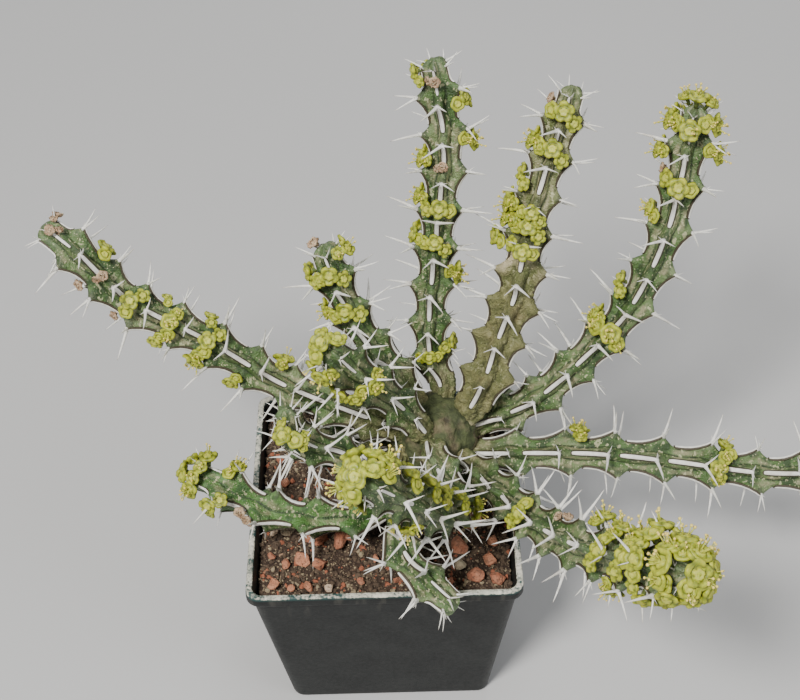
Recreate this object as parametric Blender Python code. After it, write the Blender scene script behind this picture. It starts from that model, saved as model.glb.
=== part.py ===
"""Potted euphorbia: a square plastic pot, its soil, and a spiny succulent with ribbed stems.

The origin is at the middle of the pot's underside, +Z is up and +X is the side with the longest stem.
Every piece of the plant is placed from its collar, the middle of the trunk at the soil's surface.
"""

import bisect
import math
import random

import bmesh
import bpy
from mathutils import Matrix, Vector, geometry

MM = 0.001
CLEARANCE = 0.3 * MM  # between pieces that touch

# Pot
POT_WIDTH = 80 * MM  # over the rim
POT_HEIGHT = 65 * MM
POT_TAPER = 8 * MM  # how much narrower each side is at the foot
POT_WALL = 1.1 * MM
POT_CORNER = 4 * MM
LIP_HEIGHT = 4 * MM
LIP_PROUD = 0.8 * MM
FLOOR_THICKNESS = 1.5 * MM
DRAIN_HOLE = 7 * MM
DRAIN_INSET = 17 * MM  # from the foot's edge to each hole's middle

# Soil and the brick chips on it
SOIL_BELOW_RIM = 6 * MM
SOIL_ROUGHNESS = 0.5 * MM
SOCKET_DEPTH = 7 * MM
CHIP_INSET = 6 * MM  # the chips' middles keep this far in from the soil's edge

# Trunk and crown
COLLAR_X = 16 * MM
COLLAR_Y = 10 * MM
TRUNK_RADIUS = 8.5 * MM
TRUNK_FOOT = 0.9  # of the trunk's radius, in the soil
TRUNK_HEAD = 1.1  # of the trunk's radius, under the crown
CROWN_RADIUS = 12.5 * MM
CROWN_HEIGHT = 19 * MM  # of the crown's middle above the soil
CROWN_HALF_HEIGHT = 12 * MM
CROWN_TOP = 0.25  # of the crown's radius, for the small flat on top

# Stems
CREST_RADIUS = 5.0 * MM  # from the axis to a rib's crest, between two teeth
TOOTH_RADIUS = 7.8 * MM
FURROW_RADIUS = 3.7 * MM
NECK_RADIUS = 3.7 * MM
NECK_LENGTH = 14 * MM  # the smooth stretch before the first teeth, partly inside the crown
NECK_END = 11 * MM  # where the neck has widened to the stem's full girth
TIP_LENGTH = 3 * MM  # the toothless stretch at the tip
TIP_RADIUS = 3.4 * MM
TIP_HEIGHT = 1.2 * MM  # of the dome that closes the tip
STAGGER = {4: (0, 0.25, 0, 0.25), 5: (0, 0.25, 0, 0.25, 0.125)}  # of the tooth pitch, rib by rib
FIRST_TOOTH = 0.25  # of the tooth pitch, from the neck's end
GIRTH_CHANGE = (0.55, 14)  # where along a stem its girth turns from the foot's to the tip's, and how sharply
TIP_TAPER = (0.9, 0.25)  # where along a stem it starts to narrow, and by how much
CROWDED_LENGTH = 45 * MM  # the stretch from the foot in which stems grow close enough to press on one another

# Spines
SPINE_LENGTH = 9.5 * MM
SPINE_BASE = 0.8 * MM
SPINE_SPREAD = math.radians(38)
SPINE_BACK = 0.12  # lean towards the stem's foot
SPINE_KEEP_OFF = 4 * MM  # no spine reaches nearer than this to the pot, the crown or another stem
SPINE_GAP = 1 * MM  # between the spines of two stems

# Flower groups, three heads in a row across the rib, just above a tooth
GROUP_WIDTH = 10 * MM
GROUP_DEPTH = 4.8 * MM
GROUP_HEIGHT = 4.6 * MM
GROUP_ABOVE_TOOTH = 4.3 * MM
GROUP_GAP = 0.5 * MM
GROUP_FOOT = 0.4  # of the group's width and depth, where it grows from the stem
GROUP_OUTLINE = ((0, GROUP_FOOT), (0.55, 0.95), (1, 0.85))  # (share of the height, share of the width)
GROUP_LOBES = 0.12  # how far the three heads stand out from one another

RIM_Z = POT_HEIGHT
SOIL_Z = POT_HEIGHT - SOIL_BELOW_RIM
COLLAR = Vector((COLLAR_X, COLLAR_Y, SOIL_Z))

# Each stem's axis is a smooth curve through these points, in millimetres from the collar. "turn" is the
# angle round the axis, in degrees, of its first rib; "pitch" is the distance between the teeth of a rib,
# in millimetres, and "girth" scales the foot and the tip.
STEMS = {
    "stem_left_long": dict(
        points=[(-4, -1, 21), (-12, -2, 25), (-26, -3, 34), (-45, 1, 42), (-66, 6, 56), (-86, 10, 68),
                (-99, 14, 83), (-108, 18, 90)],
        ribs=5, pitch=12, turn=-140, girth=(1.0, 1.0)),
    "stem_back_left": dict(
        points=[(-3, 3, 24), (-6, 4, 31), (-11, 6, 41), (-19, 8, 54), (-25, 11, 67), (-30, 15, 83)],
        ribs=5, pitch=12, turn=-160, girth=(0.95, 0.95)),
    "stem_middle_left": dict(
        points=[(-3, -6, 25), (-5, -8, 31), (-10, -9, 41), (-18, -12, 55), (-25, -15, 66),
                (-29, -17, 74)],
        ribs=5, pitch=12, turn=172, girth=(0.95, 1.0)),
    "stem_low_left": dict(
        points=[(-7, -4, 17), (-13, -9, 18), (-21, -16, 24), (-30, -19, 34), (-37, -22, 40),
                (-41, -25, 47)],
        ribs=5, pitch=11, turn=-150, girth=(0.9, 0.85)),
    "stem_under_left": dict(
        points=[(-5, 3, 16), (-12, 4, 15), (-24, 1, 18), (-32, -5, 23), (-38, -10, 31), (-42, -12, 38),
                (-43, -12, 45)],
        ribs=5, pitch=11, turn=-135, girth=(0.85, 0.8)),
    "stem_upright": dict(
        points=[(2, 5, 24), (3, 10, 31), (0, 14, 39), (0, 19, 55), (3, 28, 82), (5, 35, 103), (2, 41, 126)],
        ribs=5, pitch=12, turn=-92, girth=(0.95, 0.95)),
    "stem_back_old": dict(
        points=[(7, 1, 23), (12, 3, 30), (16, 6, 38), (20, 12, 48), (25, 17, 61), (27, 20, 72), (30, 25, 86),
                (36, 32, 105), (40, 36, 119)],
        ribs=5, pitch=12, turn=-43, girth=(1.2, 0.9)),
    "stem_right_curved": dict(
        points=[(5, 3, 16), (14, 5, 19), (24, 6, 23), (33, 6, 30), (45, 9, 42), (58, 14, 57), (67, 20, 78),
                (71, 26, 98), (73, 31, 115)],
        ribs=5, pitch=13, turn=-37, girth=(1.0, 0.95)),
    "stem_right_long": dict(
        points=[(6, -1, 13), (14, -3, 13), (25, -5, 15), (48, -7, 16), (71, -10, 15), (93, -13, 13),
                (108, -15, 14), (122, -16, 17), (134, -17, 22)],
        ribs=5, pitch=15, turn=-46, girth=(1.0, 0.95)),
    "stem_front_right": dict(
        points=[(5, -6, 17), (12, -15, 19), (20, -30, 25), (29, -49, 34), (38, -65, 45), (48, -81, 59),
                (58, -93, 72)],
        ribs=5, pitch=13, turn=-47, girth=(1.0, 1.05)),
    "stem_front_raised": dict(
        points=[(0, -6, 22), (0, -17, 27), (4, -31, 29), (3, -43, 34), (-4, -53, 49), (-11, -62, 66),
                (-19, -70, 82)],
        ribs=5, pitch=12, turn=160, girth=(0.95, 1.0)),
    "stem_front_low": dict(
        points=[(1, -6, 13), (1, -14, 14), (-4, -27, 17), (-11, -38, 20), (-9, -48, 19), (-1, -57, 17),
                (4, -62, 16)],
        ribs=5, pitch=11, turn=-90, girth=(0.9, 0.9)),
    "stem_low_green": dict(
        points=[(-4, -4, 12), (-9, -10, 10), (-20, -24, 11), (-32, -28, 15), (-48, -27, 18), (-63, -22, 24),
                (-71, -19, 26)],
        ribs=4, pitch=14, turn=-92, girth=(0.95, 1.0)),
}

# Where the flower groups sit: (rib, tooth), both counted from 0, with the teeth counted from the foot.
TIP = "tip"
GROUPS = {
    "stem_left_long": [(1, 7), (0, 6), (0, 4), (4, 3), (1, 2)],
    "stem_back_left": [(0, 3), (1, 3), (4, 3), (0, 2)],
    "stem_middle_left": [(0, TIP), (4, 2)],
    "stem_low_left": [(1, 2)],
    "stem_upright": [(1, 6), (4, 5), (0, 4), (1, 2), (1, 0)],
    "stem_back_old": [(0, 7), (0, 6), (4, 4), (0, 4)],
    "stem_right_curved": [(0, TIP), (0, 7), (4, 6), (4, 3), (0, 3)],
    "stem_right_long": [(4, 1), (4, 4), (0, 4)],
    "stem_front_right": [(0, TIP), (0, 7), (4, 6)],
    "stem_front_raised": [(0, TIP), (1, 4)],
    "stem_low_green": [(0, TIP), (0, 4)],
}

# Brick chips on the soil: place across and along it (-1 to 1), then length, width and height in millimetres.
CHIPS = [
    (-0.36, -0.24, 11, 8, 4.5),
    (-0.42, -0.52, 9, 5, 4.0),
    (-0.78, -0.74, 6, 5, 4.0),
    (-0.62, -0.80, 5, 5, 3.5),
    (0.72, -0.66, 7, 6, 5.0),
    (0.86, -0.36, 7, 6, 5.0),
    (0.60, -0.28, 8, 6, 5.0),
    (0.58, 0.86, 8, 6, 5.0),
]


def remove_everything():
    for obj in list(bpy.data.objects):
        bpy.data.objects.remove(obj, do_unlink=True)


def material(name, color, roughness, metallic=0.0):
    made = bpy.data.materials.new(name)
    made.use_nodes = True
    shader = made.node_tree.nodes["Principled BSDF"]
    shader.inputs["Base Color"].default_value = (*color, 1)
    shader.inputs["Roughness"].default_value = roughness
    shader.inputs["Metallic"].default_value = metallic
    return made


def add_object(name, bm, finish):
    """Closes the bmesh into a named object, with its faces turned outwards."""
    bmesh.ops.recalc_face_normals(bm, faces=bm.faces)
    mesh = bpy.data.meshes.new(name)
    bm.to_mesh(mesh)
    bm.free()
    obj = bpy.data.objects.new(name, mesh)
    bpy.context.scene.collection.objects.link(obj)
    obj.data.materials.append(finish)
    return obj


def as_cutter(obj):
    obj.hide_render = True
    obj.display_type = "WIRE"
    return obj


def cut(obj, cutter):
    boolean = obj.modifiers.new(cutter.name, "BOOLEAN")
    boolean.operation = "DIFFERENCE"
    boolean.solver = "EXACT"
    boolean.object = cutter


def loft(bm, rings, cap_start=True, cap_end=True):
    """Joins rings of vertices with as many points each, one after another."""
    for lower, upper in zip(rings, rings[1:]):
        for i in range(len(lower)):
            following = (i + 1) % len(lower)
            bm.faces.new((lower[i], lower[following], upper[following], upper[i]))
    if cap_start:
        bm.faces.new(rings[0][::-1])
    if cap_end:
        bm.faces.new(rings[-1])


# --- Pot ---


def rounded_square(bm, width, corner, z, arc_points=4):
    """A ring of vertices round a square with round corners."""
    ring = []
    for quarter in range(4):
        middle = Matrix.Rotation(quarter * math.pi / 2, 3, "Z") @ Vector(
            (width / 2 - corner, width / 2 - corner, 0)
        )
        for step in range(arc_points):
            angle = (quarter + step / (arc_points - 1)) * math.pi / 2
            out = Vector((math.cos(angle), math.sin(angle), 0)) * corner
            ring.append(bm.verts.new(middle + out + Vector((0, 0, z))))
    return ring


def wall_width(z):
    """Width over the pot's wall at a height, without the lip."""
    return POT_WIDTH - 2 * LIP_PROUD - 2 * POT_TAPER * (1 - z / POT_HEIGHT)


def make_pot(finish):
    lip_z = POT_HEIGHT - LIP_HEIGHT
    inner = 2 * POT_WALL
    bm = bmesh.new()
    outside = [
        (wall_width(0), 0),
        (wall_width(lip_z), lip_z),
        (POT_WIDTH, lip_z + LIP_PROUD),
        (POT_WIDTH, RIM_Z),
    ]
    inside = [
        (wall_width(RIM_Z) - inner, RIM_Z),
        (wall_width(FLOOR_THICKNESS) - inner, FLOOR_THICKNESS),
    ]
    rings = [rounded_square(bm, width, POT_CORNER, z) for width, z in outside]
    rings += [rounded_square(bm, width, POT_CORNER - POT_WALL, z) for width, z in inside]
    loft(bm, rings)
    pot = add_object("pot", bm, finish)
    reach = wall_width(0) / 2 - DRAIN_INSET
    bm = bmesh.new()
    for x in (-reach, reach):
        for y in (-reach, reach):
            bmesh.ops.create_cone(bm, cap_ends=True, segments=10, radius1=DRAIN_HOLE / 2,
                                  radius2=DRAIN_HOLE / 2, depth=4 * FLOOR_THICKNESS,
                                  matrix=Matrix.Translation((x, y, 0)))
    cut(pot, as_cutter(add_object("drain_holes", bm, finish)))


# --- Soil and chips ---


def soil_height(x, y):
    waves = math.sin(310 * x + 1.3) * math.cos(270 * y) + 0.6 * math.sin(520 * y + 400 * x)
    return SOIL_Z + SOIL_ROUGHNESS * waves


def soil_half_width(z):
    return wall_width(z) / 2 - POT_WALL - CLEARANCE


def make_soil(finish):
    """A block that fills the pot, with an uneven top, a tapered side and a socket for the trunk."""
    cells = 10
    bm = bmesh.new()
    bmesh.ops.create_grid(bm, x_segments=cells, y_segments=cells, size=1)
    half = soil_half_width(SOIL_Z - 2 * SOIL_ROUGHNESS)
    for vert in bm.verts:
        vert.co = Vector((vert.co.x * half, vert.co.y * half, 0))
        vert.co.z = soil_height(vert.co.x, vert.co.y)
    rim = [edge for edge in bm.edges if edge.is_boundary]
    sunk = bmesh.ops.extrude_edge_only(bm, edges=rim)["geom"]
    bottom_z = FLOOR_THICKNESS + CLEARANCE
    for vert in (item for item in sunk if isinstance(item, bmesh.types.BMVert)):
        vert.co.x *= soil_half_width(bottom_z) / half
        vert.co.y *= soil_half_width(bottom_z) / half
        vert.co.z = bottom_z
    bmesh.ops.holes_fill(bm, edges=[edge for edge in bm.edges if edge.is_boundary])
    soil = add_object("soil", bm, finish)
    round_corners(soil)
    cut(soil, make_trunk_socket(finish))


def round_corners(soil):
    """Takes off the soil's four upright corners, so that it clears the pot's round ones."""
    bm = bmesh.new()
    bm.from_mesh(soil.data)
    side = soil_half_width(FLOOR_THICKNESS + CLEARANCE)
    upright = [edge for edge in bm.edges if is_corner(edge, side)]
    bmesh.ops.bevel(bm, geom=upright, offset=POT_CORNER - POT_WALL, segments=2, profile=0.5, affect="EDGES")
    bm.to_mesh(soil.data)
    bm.free()


def is_corner(edge, side):
    """True for an edge that runs from the soil's foot to its top at a corner."""
    low, high = sorted(edge.verts, key=lambda vert: vert.co.z)
    tall = high.co.z - low.co.z > POT_HEIGHT / 2
    return tall and abs(abs(low.co.x) - side) < 1e-5 and abs(abs(low.co.y) - side) < 1e-5


def make_chip(index, chip, finish):
    """A broken piece of brick: the hull of points scattered over an ellipsoid, flat underneath."""
    across, along, *size = chip
    half = soil_half_width(SOIL_Z)
    centre = Vector((across, along, 0)) * (half - CHIP_INSET)
    rng = random.Random(39 + index)
    turn = Matrix.Rotation(rng.uniform(0, math.pi), 3, "Z")
    bm = bmesh.new()
    for _ in range(22):
        out = Vector([rng.gauss(0, 1) for _ in range(3)]).normalized()
        out = Vector([out[i] * size[i] * MM / 2 for i in range(3)])
        bm.verts.new(turn @ out)
    hull = bmesh.ops.convex_hull(bm, input=bm.verts)
    bmesh.ops.delete(bm, geom=hull["geom_interior"], context="VERTS")
    lowest = min(vert.co.z for vert in bm.verts)
    ground = max(soil_height(*(centre + vert.co).xy) for vert in bm.verts) + CLEARANCE
    for vert in bm.verts:
        vert.co += Vector((centre.x, centre.y, ground - lowest))
    add_object(f"brick_chip_{index:02d}", bm, finish)


# --- Trunk and crown ---


def crown_profile(extra, depth):
    """(radius, height above the collar) from the trunk's foot to the crown's top."""
    low, top = CROWN_HEIGHT - CROWN_HALF_HEIGHT, CROWN_HEIGHT + CROWN_HALF_HEIGHT
    profile = [(TRUNK_RADIUS * TRUNK_FOOT, -depth), (TRUNK_RADIUS, 0), (TRUNK_RADIUS * TRUNK_HEAD, low)]
    for step in range(1, 6):
        level = step / 3 - 1
        height = CROWN_HEIGHT + level * CROWN_HALF_HEIGHT
        profile.append((CROWN_RADIUS * math.sqrt(1 - level * level), height))
    profile.append((CROWN_RADIUS * CROWN_TOP, top))
    return [
        (radius + extra, height + (extra if height > CROWN_HEIGHT else 0)) for radius, height in profile
    ]


def turned(name, profile, finish, sides=14):
    """A solid turned round the collar from (radius, height) steps."""
    bm = bmesh.new()
    rings = []
    for radius, height in profile:
        turns = [Matrix.Rotation(2 * math.pi * i / sides, 3, "Z") for i in range(sides)]
        rings.append([bm.verts.new(COLLAR + turn @ Vector((radius, 0, height))) for turn in turns])
    loft(bm, rings)
    return add_object(name, bm, finish)


def make_trunk_socket(finish):
    """A cutter for the trunk's socket in the soil, from below its foot to above the highest soil."""
    profile = [
        (TRUNK_RADIUS * TRUNK_FOOT + CLEARANCE, -SOCKET_DEPTH - CLEARANCE),
        (TRUNK_RADIUS + CLEARANCE, 0),
        (TRUNK_RADIUS * TRUNK_HEAD + CLEARANCE, CROWN_HEIGHT - CROWN_HALF_HEIGHT),
    ]
    return as_cutter(turned("trunk_socket", profile, finish))


def make_crown(finish):
    turned("crown", crown_profile(0, SOCKET_DEPTH), finish)
    return as_cutter(turned("crown_clearance", crown_profile(CLEARANCE, SOCKET_DEPTH), finish))


# --- Stems ---


def smooth_curve(points, steps=12):
    """Points along a Catmull-Rom curve, from the first point to the last."""
    padded = [points[0], *points, points[-1]]
    curve = []
    for a, b, c, d in zip(padded, padded[1:], padded[2:], padded[3:]):
        for step in range(steps):
            t = step / steps
            curve.append(0.5 * (2 * b + (c - a) * t + (2 * a - 5 * b + 4 * c - d) * t * t
                                + (3 * b - a - 3 * c + d) * t * t * t))
    return curve + [points[-1]]


class Axis:
    """A stem's middle line, with a direction across it that twists as little as it can."""

    def __init__(self, points):
        self.points = smooth_curve([COLLAR + Vector(point) * MM for point in points])
        self.lengths = [0.0]
        for a, b in zip(self.points, self.points[1:]):
            self.lengths.append(self.lengths[-1] + (b - a).length)
        self.length = self.lengths[-1]
        ahead = [(b - a).normalized() for a, b in zip(self.points, self.points[1:])]
        self.tangents = [ahead[0]] + [(a + b).normalized() for a, b in zip(ahead, ahead[1:])] + [ahead[-1]]
        across = Vector((self.tangents[0].y, -self.tangents[0].x, 0)).normalized()
        self.across = [across]
        for before, after in zip(self.tangents, self.tangents[1:]):
            across = before.rotation_difference(after) @ across
            self.across.append(across)

    def at(self, distance):
        """Place, direction along the stem, and direction across it."""
        distance = min(max(distance, 0.0), self.length)
        index = bisect.bisect_left(self.lengths, distance, hi=len(self.lengths) - 1)
        if index == 0:
            return self.points[0], self.tangents[0], self.across[0]
        span = self.lengths[index] - self.lengths[index - 1]
        part = (distance - self.lengths[index - 1]) / span
        place = self.points[index - 1].lerp(self.points[index], part)
        along = self.tangents[index - 1].lerp(self.tangents[index], part).normalized()
        across = self.across[index - 1].lerp(self.across[index], part)
        across = (across - along * across.dot(along)).normalized()
        return place, along, across

    def out(self, distance, angle):
        """Place on the axis and the unit vector that points away from it at an angle."""
        place, along, across = self.at(distance)
        return place, along, Matrix.Rotation(angle, 3, along) @ across


class Stem:
    """A stem's axis, its rows of teeth and its thickness."""

    def __init__(self, name, points, ribs, pitch, turn, girth):
        self.name = name
        self.axis = Axis(points)
        self.ribs = ribs
        self.turn = math.radians(turn)
        self.girth = girth
        toothed = self.axis.length - NECK_LENGTH - TIP_LENGTH
        self.teeth = max(2, round(toothed / (pitch * MM)))
        self.pitch = toothed / self.teeth

    def shift(self, column):
        """How far along the stem a rib's or a furrow's teeth are moved, in pitches."""
        stagger = STAGGER[self.ribs]
        rib = column // 2
        if column % 2 == 0:
            return stagger[rib]
        return (stagger[rib] + stagger[(rib + 1) % self.ribs]) / 2

    def angle(self, column):
        return self.turn + math.pi * column / self.ribs

    def tooth_at(self, column, tooth):
        """Distance along the axis of a tooth's point."""
        return NECK_LENGTH + (tooth + FIRST_TOOTH + self.shift(column)) * self.pitch

    def scale(self, distance):
        """Girth at a distance along the axis, narrowing into the tip."""
        part = distance / self.axis.length
        middle, rate = GIRTH_CHANGE
        blend = 1 / (1 + math.exp(-rate * (part - middle)))
        start, taper = TIP_TAPER
        girth = self.girth[0] + (self.girth[1] - self.girth[0]) * blend
        return girth * (1 - taper * max(0, (part - start) / (1 - start)))

    def point(self, distance, column, radius, extra=0):
        place, _, out = self.axis.out(distance, self.angle(column))
        return place + out * (radius * self.scale(distance) + extra)


def stem_rings(bm, stem, teeth, extra=0):
    """Rings of points from the neck past some teeth, and the points that are a tooth's."""
    columns = range(2 * stem.ribs)

    def ring(distance, crest, furrow):
        """One point per rib and furrow, at a distance that may depend on the column."""
        return [
            bm.verts.new(stem.point(distance(column), column, furrow if column % 2 else crest, extra))
            for column in columns
        ]

    rings = [
        ring(lambda column: 0, NECK_RADIUS, NECK_RADIUS),
        ring(lambda column: NECK_END, CREST_RADIUS, FURROW_RADIUS),
    ]
    tips = []
    for tooth in range(teeth):
        toothed = ring(lambda column: stem.tooth_at(column, tooth), TOOTH_RADIUS, FURROW_RADIUS)
        waist = ring(lambda column: stem.tooth_at(column, tooth + 0.5), CREST_RADIUS, FURROW_RADIUS)
        rings += [toothed, waist]
        tips += [(toothed[column], column, stem.tooth_at(column, tooth)) for column in columns[::2]]
    if teeth == stem.teeth:
        rings.append(ring(lambda column: stem.axis.length - TIP_HEIGHT, TIP_RADIUS, TIP_RADIUS))
    return rings, tips


def foot_clearance(stem, finish):
    """A cutter a little larger than the stem's first stretch, for the stems that grow beside it."""
    bm = bmesh.new()
    teeth = min(stem.teeth, round((CROWDED_LENGTH - NECK_LENGTH) / stem.pitch))
    rings, _ = stem_rings(bm, stem, teeth, CLEARANCE)
    loft(bm, rings)
    bmesh.ops.triangulate(bm, faces=bm.faces)
    return as_cutter(add_object(f"clearance_{stem.name}", bm, finish))


def near_spine(place, tip, drawn):
    """Whether a spine would come near one that another stem has already drawn."""
    for other_place, other_tip in drawn:
        if (tip - other_tip).length > 2 * SPINE_LENGTH:
            continue
        meeting = geometry.intersect_line_line(place, tip, other_place, other_tip)
        near, other_near = meeting or (tip, other_tip)
        gap = clamped(near, place, tip) - clamped(other_near, other_place, other_tip)
        if gap.length < SPINE_GAP:
            return True
    return False


def clamped(point, start, end):
    """The point of a segment that is nearest to a point on its line."""
    part = (point - start).dot(end - start) / (end - start).length_squared
    return start.lerp(end, min(max(part, 0), 1))


def spine_clear(tip, others):
    """Whether a spine's point keeps off the pot, the soil, the crown and the other stems."""
    reach = POT_WIDTH / 2 + SPINE_KEEP_OFF
    over_pot = abs(tip.x) < reach and abs(tip.y) < reach
    if over_pot and tip.z < RIM_Z + SPINE_KEEP_OFF:
        return False
    crown = COLLAR + Vector((0, 0, CROWN_HEIGHT))
    if (tip - crown).length < CROWN_RADIUS + 2 * SPINE_KEEP_OFF:
        return False
    near = min((tip - place).length for other in others for place in other.axis.points)
    return near > TOOTH_RADIUS + SPINE_KEEP_OFF


def raise_spines(bm, stem, tips, others, drawn):
    """Turns each tooth's point into a small face and draws two spines out of it."""
    own = []
    marks = [(vert.co.copy(), column, distance) for vert, column, distance in tips]
    verts = [vert for vert, _, _ in tips]
    bevel = bmesh.ops.bevel(bm, geom=verts, offset=SPINE_BASE, segments=1, profile=0.5, affect="VERTICES")
    for face in bevel["faces"]:
        middle = face.calc_center_median()
        point, column, distance = min(marks, key=lambda mark: (mark[0] - middle).length)
        _, along, out = stem.axis.out(distance, stem.angle(column))
        side = along.cross(out)
        ends = sorted(face.verts, key=lambda vert: (vert.co - middle).dot(along))
        other_half, _ = bmesh.utils.face_split(face, ends[0], ends[-1])
        for half in (face, other_half):
            sign = math.copysign(1, (half.calc_center_median() - middle).dot(side))
            lean = out * math.cos(SPINE_SPREAD) + side * sign * math.sin(SPINE_SPREAD) - along * SPINE_BACK
            tip = point + lean.normalized() * SPINE_LENGTH
            if spine_clear(tip, others) and not near_spine(point, tip, drawn):
                bmesh.ops.poke(bm, faces=[half])["verts"][0].co = tip
                own.append((point, tip))
    drawn += own


def make_stem(stem, others, finish, cutters, drawn):
    """A stem with its teeth and spines, cut back from the crown and from the stems made before it."""
    bm = bmesh.new()
    rings, tips = stem_rings(bm, stem, stem.teeth)
    loft(bm, rings, cap_end=False)
    apex = bm.verts.new(stem.axis.at(stem.axis.length)[0])
    last = rings[-1]
    for i in range(len(last)):
        bm.faces.new((last[i], last[(i + 1) % len(last)], apex))
    bmesh.ops.recalc_face_normals(bm, faces=bm.faces)
    raise_spines(bm, stem, tips, others, drawn)
    bmesh.ops.triangulate(bm, faces=bm.faces)
    made = add_object(stem.name, bm, finish)
    for cutter in cutters:
        cut(made, cutter)


# --- Flower groups ---


def group_seat(stem, rib, tooth):
    """Where a group's foot is, the way it faces and the way its row of heads runs."""
    if tooth == TIP:
        place, along, side = stem.axis.at(stem.axis.length)
        return place + along * GROUP_GAP, along, side
    tooth_distance = stem.tooth_at(2 * rib, tooth)
    place, along, out = stem.axis.out(tooth_distance + GROUP_ABOVE_TOOTH, stem.angle(2 * rib))
    part = (GROUP_ABOVE_TOOTH - GROUP_DEPTH / 2 * GROUP_FOOT) / (stem.pitch / 2)
    crest = (TOOTH_RADIUS + (CREST_RADIUS - TOOTH_RADIUS) * part) * stem.scale(tooth_distance)
    return place + out * (crest + GROUP_GAP), out, along.cross(out)


def make_group(name, stem, rib, tooth, finish):
    """Three heads in a row across the rib, as one outline with three lobes that widens from a short stalk."""
    foot, out, side = group_seat(stem, rib, tooth)
    front = out.cross(side)
    bm = bmesh.new()
    rings = []
    for height, spread in GROUP_OUTLINE:
        ring = []
        for i in range(12):
            angle = 2 * math.pi * i / 12
            lobe = 1 - GROUP_LOBES * math.cos(6 * angle) * spread
            across = math.cos(angle) * GROUP_WIDTH / 2 * spread * lobe
            depth = math.sin(angle) * GROUP_DEPTH / 2 * spread * lobe
            ring.append(bm.verts.new(foot + side * across + front * depth + out * height * GROUP_HEIGHT))
        rings.append(ring)
    loft(bm, rings)
    add_object(name, bm, finish)


def main():
    remove_everything()
    make_pot(material("black plastic", (0.02, 0.022, 0.022), 0.45))
    make_soil(material("soil", (0.06, 0.04, 0.028), 0.95))
    for index, chip in enumerate(CHIPS, 1):
        make_chip(index, chip, material(f"brick chip {index}", (0.45, 0.18, 0.10), 0.9))
    cutters = [make_crown(material("old bark", (0.20, 0.19, 0.11), 0.7))]
    drawn = []  # the spines of the stems made so far
    stems = [Stem(name, **shape) for name, shape in STEMS.items()]
    for stem in stems:
        skin = material(f"skin of {stem.name}", (0.17, 0.24, 0.12), 0.55)
        make_stem(stem, [other for other in stems if other is not stem], skin, cutters, drawn)
        cutters.append(foot_clearance(stem, skin))
        for index, (rib, tooth) in enumerate(GROUPS.get(stem.name, ()), 1):
            name = f"flowers_{stem.name.removeprefix('stem_')}_{index}"
            make_group(name, stem, rib, tooth, material(name, (0.60, 0.62, 0.10), 0.5))


main()
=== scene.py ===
"""The looks of a potted euphorbia: its pot, soil, brick chips, corky crown, spiny stems and flower heads.

The sections follow the plant as it is potted and as it grows, from the pot up to the flowers, and then
the studio that it stands in. Every piece rides on the one body, because nothing on the plant moves.
"""

import math
import random

import bmesh
import bpy
from mathutils import Matrix, Vector, noise


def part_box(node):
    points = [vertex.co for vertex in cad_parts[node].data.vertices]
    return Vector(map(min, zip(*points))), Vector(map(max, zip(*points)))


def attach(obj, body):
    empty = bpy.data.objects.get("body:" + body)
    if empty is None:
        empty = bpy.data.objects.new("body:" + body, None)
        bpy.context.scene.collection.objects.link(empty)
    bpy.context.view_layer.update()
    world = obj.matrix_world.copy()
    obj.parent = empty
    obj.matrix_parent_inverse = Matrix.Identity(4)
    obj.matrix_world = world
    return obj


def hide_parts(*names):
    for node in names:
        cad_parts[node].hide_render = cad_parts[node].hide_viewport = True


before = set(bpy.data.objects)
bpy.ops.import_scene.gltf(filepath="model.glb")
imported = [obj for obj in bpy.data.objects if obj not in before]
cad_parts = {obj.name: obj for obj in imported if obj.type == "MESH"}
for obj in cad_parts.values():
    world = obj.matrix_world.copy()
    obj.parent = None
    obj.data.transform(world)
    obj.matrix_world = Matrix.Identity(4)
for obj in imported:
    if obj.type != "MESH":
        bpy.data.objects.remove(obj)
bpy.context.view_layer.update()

# --- Pot ---------------------------------------------------------------------------------------
# A square nursery pot, thin black polypropylene, moulded with a slight taper and a lip that stands
# proud of the wall. Hard water has left a cream crust along the rim. Four holes drain its floor.

MM = 0.001
POT_CORNER = 4 * MM
POT_WALL = 1.1 * MM
POT_FLOOR = 1.5 * MM
POT_TAPER = 8 * MM
LIP_HEIGHT = 4 * MM
LIP_PROUD = 0.8 * MM
DRAIN_HOLE = 7 * MM
DRAIN_INSET = 17 * MM
RIM_ROUNDING = 0.35 * MM
CRUST_DEPTH = 1.3 * MM
STAIN_DEPTH = 16 * MM
ARC_POINTS = 9
SIDE_PARTS = 8

pot_low, pot_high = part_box("pot")
rim_z = pot_high.z
pot_width = pot_high.x - pot_low.x


class Term:
    """One output of a node. Sums between terms become Math nodes, so that a formula reads as one."""

    def __init__(self, sheet, socket):
        self.sheet = sheet
        self.socket = socket

    def maths(self, operation, *others):
        return self.sheet.add("ShaderNodeMath", (self, *others), operation=operation)

    def __add__(self, other):
        return self.maths("ADD", other)

    def __sub__(self, other):
        return self.maths("SUBTRACT", other)

    def __rsub__(self, other):
        return self.sheet.add("ShaderNodeMath", (other, self), operation="SUBTRACT")

    def __mul__(self, other):
        return self.maths("MULTIPLY", other)

    def __truediv__(self, other):
        return self.maths("DIVIDE", other)

    def __rtruediv__(self, other):
        return self.sheet.add("ShaderNodeMath", (other, self), operation="DIVIDE")

    def __pow__(self, other):
        return self.maths("POWER", other)

    __radd__ = __add__
    __rmul__ = __mul__

    def between(self, low, high, soft=True):
        """0 below low, 1 above high, and a ramp from one to the other."""
        kind = "SMOOTHSTEP" if soft else "LINEAR"
        return self.sheet.add("ShaderNodeMapRange", (self, low, high), interpolation_type=kind)


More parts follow.
